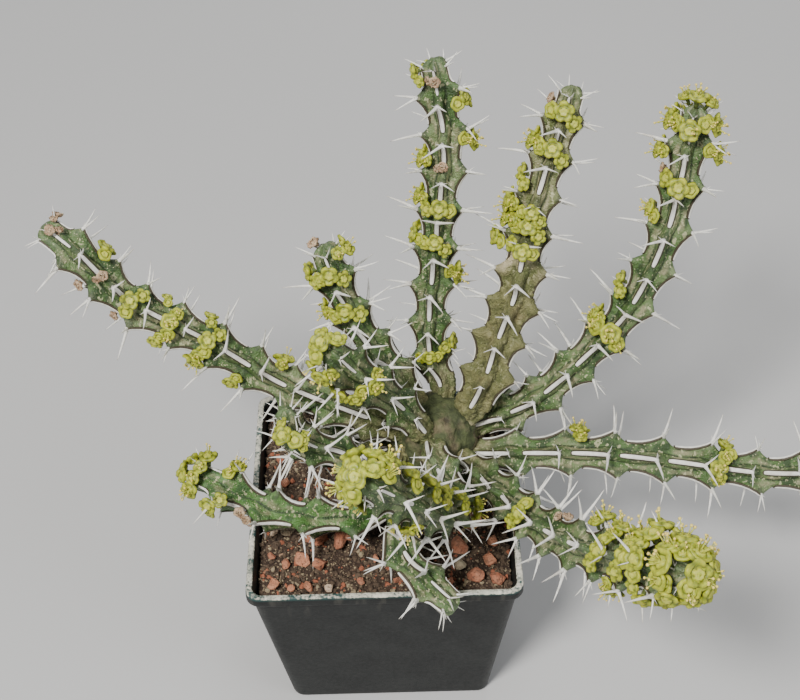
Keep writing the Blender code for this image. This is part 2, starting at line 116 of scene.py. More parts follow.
class Sheet:
    """A node tree, drawn up one node at a time."""

    def __init__(self, tree):
        self.tree = tree

    def add(self, kind, inputs=(), output=0, **settings):
        """A new node with its settings made and its inputs linked or filled in."""
        node = self.tree.nodes.new(kind)
        for name, value in settings.items():
            setattr(node, name, value)
        for key, value in inputs.items() if isinstance(inputs, dict) else enumerate(inputs):
            if isinstance(value, Term):
                self.tree.links.new(value.socket, node.inputs[key])
            elif value is not None:
                node.inputs[key].default_value = value
        return Term(self, node.outputs[output])

    def output(self, term, output):
        """Another output of the node that a term comes from."""
        return Term(self, term.socket.node.outputs[output])

    def apart(self, vector):
        """The x, y and z of a vector."""
        x = self.add("ShaderNodeSeparateXYZ", (vector,), output="X")
        return x, self.output(x, "Y"), self.output(x, "Z")


class Finish(Sheet):
    """A material, with the patterns that its colour, roughness and bump are made from."""

    def __init__(self, name):
        self.material = bpy.data.materials.new(name)
        self.material.use_nodes = True
        super().__init__(self.material.node_tree)
        self.shader = self.tree.nodes["Principled BSDF"]
        self.place = self.add("ShaderNodeTexCoord", output="Object")

    def marked(self, name):
        """A number that the mesh carries."""
        return self.add("ShaderNodeAttribute", output="Fac", attribute_name=name)

    def clouds(self, size, detail=4.0, stretch=(1, 1, 1)):
        """Soft noise, from 0 to 1, with patches of about that size."""
        stretched = self.add("ShaderNodeMapping", {"Vector": self.place, "Scale": stretch})
        inputs = {"Vector": stretched, "Scale": 1 / size, "Detail": detail}
        return self.add("ShaderNodeTexNoise", inputs).between(0.25, 0.75, soft=False)

    def specks(self, size, share, spread=0.35):
        """Small round spots of about that size, on that share of the cells."""
        cells = self.add("ShaderNodeTexVoronoi", {"Vector": self.place, "Scale": 1 / (2.2 * size)})
        chosen = self.add("ShaderNodeSeparateColor", (self.output(cells, "Color"),))
        return (1 - cells.between(spread * 0.6, spread)) * chosen.maths("LESS_THAN", share)

    def mix(self, factor, first, second):
        """A colour between two others."""
        ends = [(*end, 1) if isinstance(end, tuple) else end for end in (first, second)]
        inputs = {0: factor, 6: ends[0], 7: ends[1]}
        return self.add("ShaderNodeMix", inputs, output=2, data_type="RGBA")

    def made(self, colour, roughness, height=None, depth=0.1 * MM, **constants):
        """Connects the patterns to the shader and returns the material."""
        self.tree.links.new(colour.socket, self.shader.inputs["Base Color"])
        self.tree.links.new(roughness.socket, self.shader.inputs["Roughness"])
        if height:
            bump = self.add("ShaderNodeBump", {"Height": height, "Distance": depth, "Strength": 1.0})
            self.tree.links.new(bump.socket, self.shader.inputs["Normal"])
        for name, value in constants.items():
            self.shader.inputs[name.replace("_", " ")].default_value = value
        return self.material


def set_out(name, data):
    """An object in the scene that holds a mesh, a light or a camera."""
    held = bpy.data.objects.new(name, data)
    bpy.context.scene.collection.objects.link(held)
    return held


def mesh_of(name, bm):
    """The mesh of a shape that has been modelled."""
    mesh = bpy.data.meshes.new(name)
    bm.to_mesh(mesh)
    bm.free()
    return mesh


def evaluated_mesh(held):
    """The mesh that an object's modifiers make. The object goes."""
    graph = bpy.context.evaluated_depsgraph_get()
    grown = held.evaluated_get(graph)
    made = bpy.data.meshes.new_from_object(grown, preserve_all_data_layers=True, depsgraph=graph)
    bpy.data.objects.remove(held)
    return made


def add_piece(name, mesh, material, slot, *nodes):
    """A finished piece: normals outwards, its material, and its place in the object."""
    bm = bmesh.new()
    bm.from_mesh(mesh)
    bmesh.ops.remove_doubles(bm, verts=bm.verts, dist=0.002 * MM)
    bmesh.ops.recalc_face_normals(bm, faces=bm.faces)
    bm.to_mesh(mesh)
    bm.free()
    mesh.name = name
    mesh.materials.clear()
    mesh.materials.append(material)
    piece = set_out(name, mesh)
    mesh.shade_smooth()
    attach(piece, "root")
    if nodes:
        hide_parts(*nodes)
    return piece


def rounded_square(bm, width, corner, z):
    """A ring of vertices round a square with round corners and a few points along each side."""
    ring = []
    for quarter in range(4):
        turn = Matrix.Rotation(quarter * math.pi / 2, 3, "Z")
        middle = Vector((width / 2 - corner, width / 2 - corner, 0))
        for step in range(ARC_POINTS):
            angle = step / (ARC_POINTS - 1) * math.pi / 2
            ring.append(turn @ (middle + Vector((math.cos(angle), math.sin(angle), 0)) * corner))
        straight = turn @ Vector((-(width / 2 - corner), width / 2, 0))
        ring += [ring[-1].lerp(straight, part / SIDE_PARTS) for part in range(1, SIDE_PARTS)]
    return [bm.verts.new(place + Vector((0, 0, z))) for place in ring]


def loft(bm, rings, cap_end=True):
    """Joins rings of as many vertices each, one after another, and closes the ends."""
    for lower, upper in zip(rings, rings[1:]):
        for i in range(len(lower)):
            after = (i + 1) % len(lower)
            bm.faces.new((lower[i], lower[after], upper[after], upper[i]))
    bm.faces.new(rings[0][::-1])
    if cap_end:
        bm.faces.new(rings[-1])


def wall_width(z):
    """Width over the pot's wall at a height, without the lip."""
    return pot_width - 2 * LIP_PROUD - 2 * POT_TAPER * (1 - z / rim_z)


def pot_plastic():
    """Black polypropylene, faintly grained, with dust low down and lime crust along the rim."""
    finish = Finish("pot plastic")
    _, _, height = finish.apart(finish.place)
    near_rim = height.between(rim_z - CRUST_DEPTH, rim_z - 0.1 * MM)
    patches = finish.clouds(6 * MM, 6.0)
    fine = finish.clouds(0.9 * MM, 5.0)
    crust = (near_rim * 0.80 + patches * 0.40 + fine * 0.40).between(1.0, 1.22)
    drip = finish.clouds(3 * MM, 4.0, stretch=(1, 1, 0.15))
    stain = height.between(rim_z - STAIN_DEPTH, rim_z) * drip.between(0.55, 0.85) * 0.22
    black = finish.mix(finish.clouds(9 * MM), (0.006, 0.007, 0.007), (0.016, 0.018, 0.017))
    dusty = finish.mix(stain, black, (0.16, 0.15, 0.12))
    algae = finish.mix(near_rim * 0.8, dusty, (0.035, 0.085, 0.080))
    lime = finish.mix(finish.clouds(3 * MM, 3.0), (0.36, 0.37, 0.31), (0.78, 0.74, 0.62))
    colour = finish.mix(crust, algae, lime)
    roughness = 0.44 + 0.12 * finish.clouds(1.2 * MM) + 0.45 * crust
    relief = fine * crust * 1.6 + finish.clouds(0.35 * MM, 2.0) * 0.15
    return finish.made(colour, roughness, relief, 0.22 * MM, Specular_IOR_Level=0.3)


def pot_mesh():
    """The wall, lip, rim and floor as one shell, from the foot up the outside and down the inside."""
    lip_z = rim_z - LIP_HEIGHT
    inner = 2 * POT_WALL
    outside = [
        (wall_width(0) - 1.6 * MM, 0, 3.4), (wall_width(0) - 0.5 * MM, 0.2 * MM, 3.9),
        (wall_width(0.8 * MM), 0.8 * MM, 4), (wall_width(2 * MM), 2 * MM, 4),
        (wall_width(lip_z - 0.4 * MM), lip_z - 0.4 * MM, 4), (wall_width(lip_z), lip_z, 4),
        (pot_width - 0.5 * MM, lip_z + 0.35 * MM, 4), (pot_width, lip_z + 0.9 * MM, 4),
        (pot_width - 0.1 * MM, rim_z - 0.9 * MM, 4), (pot_width - 0.2 * MM, rim_z - RIM_ROUNDING, 4),
        (pot_width - 0.9 * MM, rim_z, 3.8),
    ]
    edge = wall_width(rim_z) - inner
    inside = [
        (edge + 0.7 * MM, rim_z, 3.2), (edge, rim_z - RIM_ROUNDING, 2.9),
        (wall_width(rim_z - 2 * MM) - inner, rim_z - 2 * MM, 2.9),
        (wall_width(POT_FLOOR) - inner, POT_FLOOR, 2.9),
    ]
    bm = bmesh.new()
    loft(bm, [rounded_square(bm, width, corner * MM, z) for width, z, corner in outside + inside])
    return mesh_of("pot_shell", bm)


def drain_mesh():
    """Four round cutters, one for each drain hole."""
    reach = wall_width(0) / 2 - DRAIN_INSET
    bm = bmesh.new()
    for x in (-reach, reach):
        for y in (-reach, reach):
            place = Matrix.Translation((x, y, 0))
            size = dict(radius1=DRAIN_HOLE / 2, radius2=DRAIN_HOLE / 2, depth=4 * POT_FLOOR)
            bmesh.ops.create_cone(bm, cap_ends=True, segments=24, matrix=place, **size)
    return mesh_of("drain_cutters", bm)


def drained(mesh):
    """The pot's shell with the drain holes cut through its floor."""
    shell, cutters = set_out("shell", mesh), set_out("cutters", drain_mesh())
    cut = shell.modifiers.new("drain_holes", "BOOLEAN")
    cut.operation = "DIFFERENCE"
    cut.solver = "EXACT"
    cut.object = cutters
    made = evaluated_mesh(shell)
    bpy.data.objects.remove(cutters)
    return made


pot = add_piece("nursery_pot", drained(pot_mesh()), pot_plastic(), "pot_plastic", "pot")
for polygon in pot.data.polygons:
    lies_flat = abs(polygon.normal.z) >= 0.98
    polygon.use_smooth = not lies_flat or polygon.center.z > 2 * POT_FLOOR

# --- Soil --------------------------------------------------------------------------------------
# A gritty mix of bark humus, sand and brick crumbs, filled to just under the rim. It is one uneven
# bed, with loose crumbs and grains scattered over its top.

SOIL_GAP = 0.3 * MM
SOIL_WAVE = 0.5 * MM
SOIL_LUMP = 0.45 * MM
SOIL_RINGS = 34

soil_low, soil_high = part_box("soil")
soil_level = soil_high.z - 0.7 * MM


def soil_height(x, y):
    """Height of the uneven top, in waves and lumps."""
    lumps = noise.fractal(Vector((x, y, 0)) * 260, 1.0, 2.0, 3)
    waves = math.sin(310 * x + 1.3) * math.cos(270 * y) + 0.6 * math.sin(520 * y + 400 * x)
    return soil_level + SOIL_WAVE * waves * 0.8 + SOIL_LUMP * lumps


def soil_mesh():
    """Rings from the foot up the pot's inside and then inwards over the uneven top."""
    def width(z):
        return wall_width(z) - 2 * POT_WALL - 2 * SOIL_GAP

    bm = bmesh.new()
    corner = POT_CORNER - POT_WALL
    rings = [rounded_square(bm, width(soil_low.z), corner, soil_low.z)]
    rings.append(rounded_square(bm, width(soil_level) - 0.3 * MM, corner, soil_level - 1.2 * MM))
    for step in range(SOIL_RINGS):
        part = 1 - step / SOIL_RINGS
        rings.append(rounded_square(bm, (width(soil_level) - 0.4 * MM) * part, corner * part, 0))
        for vert in rings[-1]:
            vert.co.z = soil_height(vert.co.x, vert.co.y)
    loft(bm, rings)
    return mesh_of("soil_bed", bm)


def soil_finish(name, dark, light, red_share=0.0):
    """Crumbly earth: dark and light grains, with a tint of its own for every loose crumb."""
    finish = Finish(name)
    tint = finish.marked("tint")
    grains = finish.clouds(0.8 * MM, 8.0)
    patches = finish.clouds(7 * MM, 5.0)
    earth = finish.mix(grains * 0.45 + patches * 0.15 + tint * 0.5, dark, light)
    sand = finish.mix(finish.specks(0.45 * MM, 0.22), earth, (0.42, 0.33, 0.20))
    tan = finish.mix(tint.between(0.80, 0.81) * 0.8, sand, (0.36, 0.29, 0.18))
    red = finish.mix(tint.between(1 - red_share - 0.01, 1 - red_share), tan, (0.34, 0.115, 0.06))
    colour = red if red_share else sand
    return finish.made(colour, 0.86 + 0.12 * grains, grains + patches * 0.4, 0.45 * MM)


class Growth(Sheet):
    """A Geometry Nodes tree with named inputs, run on an object and given back as a plain mesh."""

    KINDS = {float: "NodeSocketFloat", int: "NodeSocketInt", bpy.types.Object: "NodeSocketObject"}

    def __init__(self, name, **inputs):
        super().__init__(bpy.data.node_groups.new(name, "GeometryNodeTree"))
        face = self.tree.interface
        face.new_socket("Geometry", in_out="INPUT", socket_type="NodeSocketGeometry")
        for key, kind in inputs.items():
            face.new_socket(key, in_out="INPUT", socket_type=self.KINDS[kind])
        face.new_socket("Geometry", in_out="OUTPUT", socket_type="NodeSocketGeometry")
        entry = self.tree.nodes.new("NodeGroupInput")
        self.given = {socket.name: Term(self, socket) for socket in entry.outputs if socket.name}

    def end(self, geometry, material=None):
        """Realizes the instances, sets the material and closes the tree."""
        realized = self.add("GeometryNodeRealizeInstances", (geometry,))
        if material:
            realized = self.add("GeometryNodeSetMaterial", (realized, None, material))
        leaving = self.tree.nodes.new("NodeGroupOutput")
        self.tree.links.new(realized.socket, leaving.inputs[0])

    def store(self, geometry, name, value, kind="FLOAT"):
        """The geometry, with a value kept on its points under a name."""
        inputs = {"Geometry": geometry, "Name": name, "Value": value}
        return self.add("GeometryNodeStoreNamedAttribute", inputs, data_type=kind, domain="POINT")

    def read(self, name, kind="FLOAT"):
        """A value that was kept under a name."""
        return self.add("GeometryNodeInputNamedAttribute", (name,), data_type=kind)

    def shape_of(self, name):
        """The geometry of the object that an input names."""
        return self.add("GeometryNodeObjectInfo", {"Object": self.given[name]}, output="Geometry")

    def patterns(self, kept):
        """The shapes of a collection, each as an instance of its own."""
        inputs = {"Collection": kept, "Separate Children": True, "Reset Children": True}
        return self.add("GeometryNodeCollectionInfo", inputs)

    def spots(self):
        """The x, y and z of each point."""
        return self.apart(self.add("GeometryNodeInputPosition"))

    def move(self, geometry, place):
        """The geometry, with its points set on a place."""
        return self.add("GeometryNodeSetPosition", {"Geometry": geometry, "Position": place})

    def vector(self, operation, *terms):
        """The result of a vector operation."""
        return self.add("ShaderNodeVectorMath", terms, operation=operation)

    def scaled(self, vector, factor):
        """A vector as many times as long."""
        return self.add("ShaderNodeVectorMath", {0: vector, "Scale": factor}, operation="SCALE")

    def off(self, place, direction, distance):
        """A place moved a distance in a direction."""
        return self.vector("ADD", place, self.scaled(direction, distance))

    def random(self, low, high, seed):
        """A number for each element, with a fixed seed."""
        inputs = {2: low, 3: high, "Seed": seed}
        return self.add("FunctionNodeRandomValue", inputs, output=1, data_type="FLOAT")

    def run(self, mesh, **values):
        """The tree's result on a mesh, as a plain mesh."""
        held = set_out("held", mesh)
        modifier = held.modifiers.new(self.tree.name, "NODES")
        modifier.node_group = self.tree
        for item in self.tree.interface.items_tree:
            if item.in_out == "INPUT" and item.name in values:
                modifier[item.identifier] = values[item.name]
        return evaluated_mesh(held)


def crumb_shape(name, seed, points=14, flat=0.75):
    """A small broken grain, as the hull of scattered points, one unit across."""
    rng = random.Random(seed)
    bm = bmesh.new()
    for _ in range(points):
        out = Vector([rng.gauss(0, 1) for _ in range(3)]).normalized() * rng.uniform(0.40, 0.52)
        bm.verts.new((out.x, out.y * 0.85, out.z * flat))
    hull = bmesh.ops.convex_hull(bm, input=bm.verts)
    bmesh.ops.delete(bm, geom=hull["geom_interior"], context="VERTS")
    return mesh_of(name, bm)


def pattern_set(name, meshes):
    """Shapes kept together so that a tree can pick among them. They aren't shown."""
    kept = bpy.data.collections.new(name)
    for mesh in meshes:
        kept.objects.link(bpy.data.objects.new(mesh.name, mesh))
    return kept


def strewn(name, kept, bed, density, smallest, largest, seed, material):
    """Loose grains over the top of a bed, each with a tint of its own."""
    tree = Growth(name, Density=float, Smallest=float, Largest=float)
    _, _, upness = tree.apart(tree.add("GeometryNodeInputNormal"))
    _, _, height = tree.spots()
    top = upness.between(0.6, 0.7) * height.maths("GREATER_THAN", soil_level - 2 * MM)
    inputs = {"Mesh": tree.given["Geometry"], "Selection": top, "Density": tree.given["Density"],
              "Seed": seed}
    spread = tree.add("GeometryNodeDistributePointsOnFaces", inputs, output="Points")
    tinted = tree.store(spread, "tint", tree.random(0.0, 1.0, seed + 1))
    inputs = {0: (0, 0, 0), 1: (6.3, 6.3, 6.3), "Seed": seed + 2}
    turn = tree.add("FunctionNodeRandomValue", inputs, data_type="FLOAT_VECTOR")
    size = tree.random(0.0, 1.0, seed + 3) ** 2.0
    span = tree.given["Largest"] - tree.given["Smallest"]
    inputs = {"Points": tinted, "Instance": tree.patterns(kept), "Pick Instance": True,
              "Rotation": turn, "Scale": tree.given["Smallest"] + span * size}
    tree.end(tree.add("GeometryNodeInstanceOnPoints", inputs), material)
    return tree.run(bed, Density=density, Smallest=smallest, Largest=largest)


earth = soil_finish("damp earth", (0.020, 0.012, 0.008), (0.105, 0.062, 0.038))
crumbs = soil_finish("loose crumbs", (0.022, 0.014, 0.009), (0.165, 0.110, 0.070), red_share=0.10)
grains = soil_finish("sand grains", (0.12, 0.085, 0.055), (0.36, 0.28, 0.18))
bed = soil_mesh()
shapes = pattern_set("crumb_shapes", [crumb_shape(f"crumb_{i}", 300 + i) for i in range(6)])
loose_crumbs = strewn("crumbs", shapes, bed.copy(), 8.5e5, 0.9 * MM, 3.2 * MM, 11, crumbs)
loose_grains = strewn("grains", shapes, bed.copy(), 7.0e5, 0.4 * MM, 1.3 * MM, 23, grains)
add_piece("soil_bed", bed, earth, "soil", "soil")
add_piece("loose_crumbs", loose_crumbs, crumbs, "soil", "soil")
add_piece("loose_grains", loose_grains, grains, "soil", "soil")

# --- Brick chips -------------------------------------------------------------------------------
# Broken red brick laid over the soil as a mulch. The larger chips are the modelled ones, given
# broken facets and worn edges, and smaller ones lie between them.

WORN_EDGE = 0.32 * MM
LONG_EDGE = 1.2 * MM
BRICK, CREAM, GREY = 0.0, 2.0, 3.0
SMALL_CHIPS = [  # across and along the soil, from -1 to 1, then size in millimetres and kind
    (-0.60, -0.42, 9.0, BRICK), (-0.98, -0.62, 3.4, BRICK), (-0.86, -0.70, 4.2, BRICK),
    (-0.95, -0.94, 4.6, BRICK), (-0.80, -0.97, 3.2, BRICK), (-0.66, -0.95, 4.6, BRICK),
    (-0.48, -0.98, 3.6, CREAM), (-0.98, -0.36, 4.0, CREAM), (-0.86, -0.36, 4.6, GREY),
    (-0.34, -0.44, 5.6, BRICK), (-0.20, -0.92, 3.4, BRICK), (-0.08, -0.68, 3.4, BRICK),
    (0.12, -0.90, 3.6, BRICK), (0.30, -0.72, 4.2, BRICK), (0.94, -0.52, 5.2, BRICK),
    (0.66, -0.78, 4.4, GREY), (0.92, -0.72, 5.6, BRICK), (0.78, -0.90, 6.2, BRICK),
    (0.97, -0.94, 5.8, BRICK), (0.55, -0.95, 4.0, BRICK), (0.68, 0.16, 6.0, CREAM),
    (0.95, 0.04, 3.4, BRICK), (0.97, 0.24, 3.2, BRICK), (-0.95, 0.46, 3.8, BRICK),
    (-0.90, 0.20, 4.4, BRICK), (-0.84, 0.72, 4.6, BRICK), (0.96, 0.95, 4.4, BRICK),
    (0.28, 0.86, 4.8, BRICK), (-0.36, 0.80, 4.2, CREAM),
]


def chip_finish():
    """Fired clay: orange to brown red from chip to chip, pitted, with painted shade in the pits and earth
    dust in the hollows.
    """
    finish = Finish("brick")
    tint = finish.marked("tint")
    fired = finish.mix(tint, (0.30, 0.085, 0.040), (0.56, 0.225, 0.120))
    cream = finish.mix(tint.between(1.4, 1.6), fired, (0.58, 0.46, 0.33))
    sorted_chips = finish.mix(tint.between(2.4, 2.6), cream, (0.22, 0.21, 0.14))
    pale = finish.mix(finish.clouds(2.5 * MM, 5.0) * 0.40, sorted_chips, (0.56, 0.34, 0.22))
    hollows = finish.clouds(1.1 * MM, 6.0).between(0.55, 0.9)
    dusty = finish.mix(hollows * 0.6, pale, (0.13, 0.085, 0.06))
    pits = finish.specks(0.22 * MM, 0.35)
    # Painted shade: the pits are darkened.
    colour = finish.mix(pits * 0.7, dusty, (0.10, 0.04, 0.025))
    roughness = 0.82 + 0.12 * finish.clouds(0.8 * MM)
    return finish.made(colour, roughness, finish.clouds(0.6 * MM, 7.0) - pits * 0.8, 0.3 * MM)


def broken(bm, roughness, seed):
    """Rounds a chip's edges a little and roughens its faces."""
    bmesh.ops.remove_doubles(bm, verts=bm.verts, dist=0.05 * MM)
    bmesh.ops.dissolve_limit(bm, angle_limit=0.3, verts=bm.verts, edges=bm.edges)
    bmesh.ops.bevel(bm, geom=bm.edges[:], offset=WORN_EDGE, segments=1, profile=0.6,
                    affect="EDGES", clamp_overlap=True)
    bmesh.ops.triangulate(bm, faces=bm.faces)
    long_edges = [edge for edge in bm.edges if edge.calc_length() > LONG_EDGE]
    bmesh.ops.subdivide_edges(bm, edges=long_edges, cuts=2, use_grid_fill=True)
    bmesh.ops.triangulate(bm, faces=bm.faces)
    bm.normal_update()
    for vert in bm.verts:
        rough = noise.fractal(vert.co * 700 + Vector((seed * 7.3, 0, 0)), 0.9, 2.1, 3)
        vert.co += vert.normal * roughness * rough


def chip_mesh(chip_nodes):
    """Every chip, in one mesh that marks each with a tint."""
    joined = bmesh.new()
    tint = joined.verts.layers.float.new("tint")
    half_width = (soil_high.x - soil_low.x) / 2 - 3 * MM

    def take(bm, value):
        """Adds a chip to the mesh."""
        places = [joined.verts.new(vert.co) for vert in bm.verts]
        for vert in places:
            vert[tint] = value
        bm.verts.index_update()
        for face in bm.faces:
            joined.faces.new([places[vert.index] for vert in face.verts])
        bm.free()

    for index, node in enumerate(chip_nodes):
        bm = bmesh.new()
        bm.from_mesh(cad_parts[node].data)
        broken(bm, 0.16 * MM, index)
        take(bm, random.Random(index).uniform(0.1, 1))
    for index, (across, along, size, kind) in enumerate(SMALL_CHIPS):
        bm = bmesh.new()
        bm.from_mesh(crumb_shape("chip", 500 + index, points=18, flat=0.62))
        x, y = across * half_width, along * half_width
        turn = Matrix.Rotation(index * 2.4, 4, "Z") @ Matrix.Rotation(0.25 * math.sin(index), 4, "X")
        rest = Vector((x, y, soil_height(x, y) + (0.9 + 0.16 * size) * MM))
        bm.transform(Matrix.Translation(rest) @ turn @ Matrix.Scale(size * MM, 4))
        broken(bm, 0.12 * MM, 50 + index)
        take(bm, kind or random.Random(90 + index).uniform(0, 1))
    return mesh_of("brick_chips", joined)


chip_nodes = sorted(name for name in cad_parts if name.startswith("brick_chip"))
chips = add_piece("brick_chips", chip_mesh(chip_nodes), chip_finish(), "brick_chip", *chip_nodes)
chips.data.shade_flat()

# --- Crown -------------------------------------------------------------------------------------
# The swollen foot of the plant, years old and corky, from which every stem grows. It is one solid
# with a short trunk that goes down into the soil.

SOCKET_DEPTH = 7 * MM
BARK_LIFT = 0.8 * MM
BARK_PLATES, BARK_GRAIN, BARK_SWELL = 230, 350, 160  # to a metre
CROWN_LOBES = 7
CROWN_SIDES = 72
CROWN_STEPS = 5

crown_low, crown_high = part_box("crown")
collar = Vector((
    (crown_low.x + crown_high.x) / 2,
    (crown_low.y + crown_high.y) / 2,
    crown_low.z + SOCKET_DEPTH,
))


def crown_mesh():
    """A turned outline, swollen above a narrower trunk, with bark plates and lobes raised on it."""
    radius = (crown_high.x - crown_low.x) / 2 - 0.5 * MM
    height = crown_high.z - crown_low.z
    outline = [
        (0.0, 0.02), (0.55, 0.0), (0.64, 0.08), (0.66, 0.2), (0.72, 0.32), (0.86, 0.44),
        (0.97, 0.58), (1.0, 0.7), (0.93, 0.82), (0.72, 0.93), (0.4, 0.99), (0.0, 1.0),
    ]
    bm = bmesh.new()
    rings = []
    for (r0, z0), (r1, z1) in zip(outline, outline[1:]):
        for step in range(CROWN_STEPS):
            part = step / CROWN_STEPS
            reach = max(r0 + (r1 - r0) * part, 0.004) * radius
            ring = []
            for i in range(CROWN_SIDES):
                angle = 2 * math.pi * i / CROWN_SIDES
                out = Vector((math.cos(angle), math.sin(angle), 0))
                spot = Vector((out.x * reach, out.y * reach, (z0 + (z1 - z0) * part) * height))
                near, far = noise.voronoi(spot * BARK_PLATES)[0][:2]
                lift = min(1, 3 * (far - near)) + 0.5 * noise.fractal(spot * BARK_GRAIN, 1, 2, 3)
                lift += 0.9 * noise.noise(spot * BARK_SWELL)
                lift += 0.8 * math.cos(CROWN_LOBES * angle + 3 * z0)
                spot += out * lift * BARK_LIFT * min(1, reach / (3 * MM))
                ring.append(bm.verts.new(spot + Vector((collar.x, collar.y, crown_low.z))))
            rings.append(ring)
    loft(bm, rings)
    return mesh_of("corky_crown", bm)


def bark_finish():
    """Old corky skin in painted shade under the stems: olive where living, tan and brown where the cork has
    split.
    """
    finish = Finish("bark")
    plates = finish.clouds(2.2 * MM, 7.0)
    patches = finish.clouds(8 * MM, 4.0)
    # The living olive is kept dark as painted shade, for the shadow that the stems cast on the crown.
    alive_and_shaded = finish.mix(plates, (0.022, 0.030, 0.010), (0.105, 0.125, 0.048))
    cork = finish.mix(plates, (0.050, 0.036, 0.020), (0.27, 0.215, 0.125))
    colour = finish.mix(patches.between(0.5, 0.8) * 0.8, alive_and_shaded, cork)
    return finish.made(colour, 0.72 + 0.2 * plates, plates + finish.clouds(0.6 * MM) * 0.4, 0.5 * MM)


add_piece("corky_crown", crown_mesh(), bark_finish(), "bark", "crown")

# --- Stems -------------------------------------------------------------------------------------
# Fleshy ribbed stems. Every rib carries a row of hooked teeth: each rises slowly from the side of
# the foot and falls off steeply on the side of the tip, where a hollow holds the flower heads.
# One tree lays the skin over a stem's axis, and its surface rule also seats spines and flowers.

NECK_RADIUS = 3.7 * MM
NECK_LENGTH = 14 * MM
NECK_END = 11 * MM
CREST_RADIUS = 4.6 * MM
FURROW_RADIUS = 3.2 * MM
TOOTH_HEIGHT = 3.2 * MM
TIP_LENGTH = 3 * MM
TIP_ROUNDING = 3.6 * MM
TIP_SEAT = 2.4 * MM  # from the end of the axis to the last and youngest tooth
FIRST_TOOTH = 0.25  # of the pitch
RISE_FROM = 0.28  # of the pitch, where the skin starts to rise to the next tooth
FALL_BY = 0.24  # of the pitch, where it has fallen from the last one
HOOK_WIDTH = 0.37  # of the way from the crest to the furrow
SKIN_LUMPS, SKIN_GRAIN, CORK_PLATES = 210.0, 900.0, 420.0  # to a metre
LUMP_RELIEF = 0.9 * MM
GRAIN_RELIEF = 0.16 * MM
ROW_LENGTH = 0.42 * MM
COLUMNS_PER_RIB = 16

# Each axis is a smooth curve through these points, in millimetres from the collar. "turn" is the angle
# of the first rib, "girth" scales the foot and the tip, "cork" is how far up the stem its skin is corky.
STEMS = {
    "left_long": dict(
        points=[(-4, -1, 21), (-12, -2, 25), (-26, -3, 34), (-45, 1, 42), (-66, 6, 56), (-86, 10, 68),
                (-99, 14, 83), (-108, 18, 90)],
        ribs=5, pitch=12, turn=-140, girth=(1.0, 1.0), cork=0.22),
    "back_left": dict(
        points=[(-3, 3, 24), (-6, 4, 31), (-11, 6, 41), (-19, 8, 54), (-25, 11, 67), (-30, 15, 83)],
        ribs=5, pitch=12, turn=-160, girth=(0.95, 0.95), cork=0.3),
    "middle_left": dict(
        points=[(-3, -6, 25), (-5, -8, 31), (-10, -9, 41), (-18, -12, 55), (-25, -15, 66), (-29, -17, 74)],
        ribs=5, pitch=12, turn=172, girth=(0.95, 1.0), cork=0.25),
    "low_left": dict(
        points=[(-7, -4, 17), (-13, -9, 18), (-21, -16, 24), (-30, -19, 34), (-37, -22, 40), (-41, -25, 47)],
        ribs=5, pitch=11, turn=-150, girth=(0.9, 0.85), cork=0.45),
    "under_left": dict(
        points=[(-5, 3, 16), (-12, 4, 15), (-24, 1, 18), (-32, -5, 23), (-38, -10, 31), (-42, -12, 38),
                (-43, -12, 45)],
        ribs=5, pitch=11, turn=-135, girth=(0.85, 0.8), cork=0.45),
    "upright": dict(
        points=[(2, 5, 24), (3, 10, 31), (0, 14, 39), (0, 19, 55), (3, 28, 82), (5, 35, 103), (2, 41, 126)],
        ribs=5, pitch=12, turn=-92, girth=(0.95, 0.95), cork=0.15),
    "back_old": dict(
        points=[(7, 1, 23), (12, 3, 30), (16, 6, 38), (20, 12, 48), (25, 17, 61), (27, 20, 72), (30, 25, 86),
                (36, 32, 105), (40, 36, 119)],
        ribs=5, pitch=12, turn=-43, girth=(1.2, 0.9), cork=0.56),
    "right_curved": dict(
        points=[(5, 3, 16), (14, 5, 19), (24, 6, 23), (33, 6, 30), (45, 9, 42), (58, 14, 57), (67, 20, 78),
                (71, 26, 98), (73, 31, 115)],
        ribs=5, pitch=13, turn=-37, girth=(1.0, 0.95), cork=0.12),
    "right_long": dict(
        points=[(6, -1, 13), (14, -3, 13), (25, -5, 15), (48, -7, 16), (71, -10, 15), (93, -13, 13),
                (108, -15, 14), (122, -16, 17), (134, -17, 22)],
        ribs=5, pitch=15, turn=-46, girth=(1.0, 0.95), cork=0.12),
    "front_right": dict(
        points=[(5, -6, 17), (12, -15, 19), (20, -30, 25), (29, -49, 34), (38, -65, 45), (48, -81, 59),
                (58, -93, 72)],
        ribs=5, pitch=13, turn=-47, girth=(1.0, 1.05), cork=0.15),
    "front_raised": dict(
        points=[(0, -6, 22), (0, -17, 27), (4, -31, 29), (3, -43, 34), (-4, -53, 49), (-11, -62, 66),
                (-19, -70, 82)],
        ribs=5, pitch=12, turn=160, girth=(0.95, 1.0), cork=0.15),
    "front_low": dict(
        points=[(1, -6, 13), (1, -14, 14), (-4, -27, 17), (-11, -38, 20), (-9, -48, 19), (-1, -57, 17),
                (4, -62, 16)],
        ribs=5, pitch=11, turn=-90, girth=(0.9, 0.9), cork=0.2),
    "low_green": dict(
        points=[(-4, -4, 12), (-9, -10, 10), (-20, -24, 11), (-32, -28, 15), (-48, -27, 18), (-63, -22, 24),
                (-71, -19, 26)],
        ribs=4, pitch=14, turn=-92, girth=(0.95, 1.0), cork=0.08),
}

STEM_INPUTS = dict(Ribs=int, Teeth=int, Turn=float, Foot=float, Tip=float, Cork=float, Hook=float)


def axis_mesh(points):
    """A chain of edges through a stem's points."""
    mesh = bpy.data.meshes.new("axis")
    places = [collar + Vector(point) * MM for point in points]
    mesh.from_pydata(places, [(i, i + 1) for i in range(len(places) - 1)], [])
    return mesh


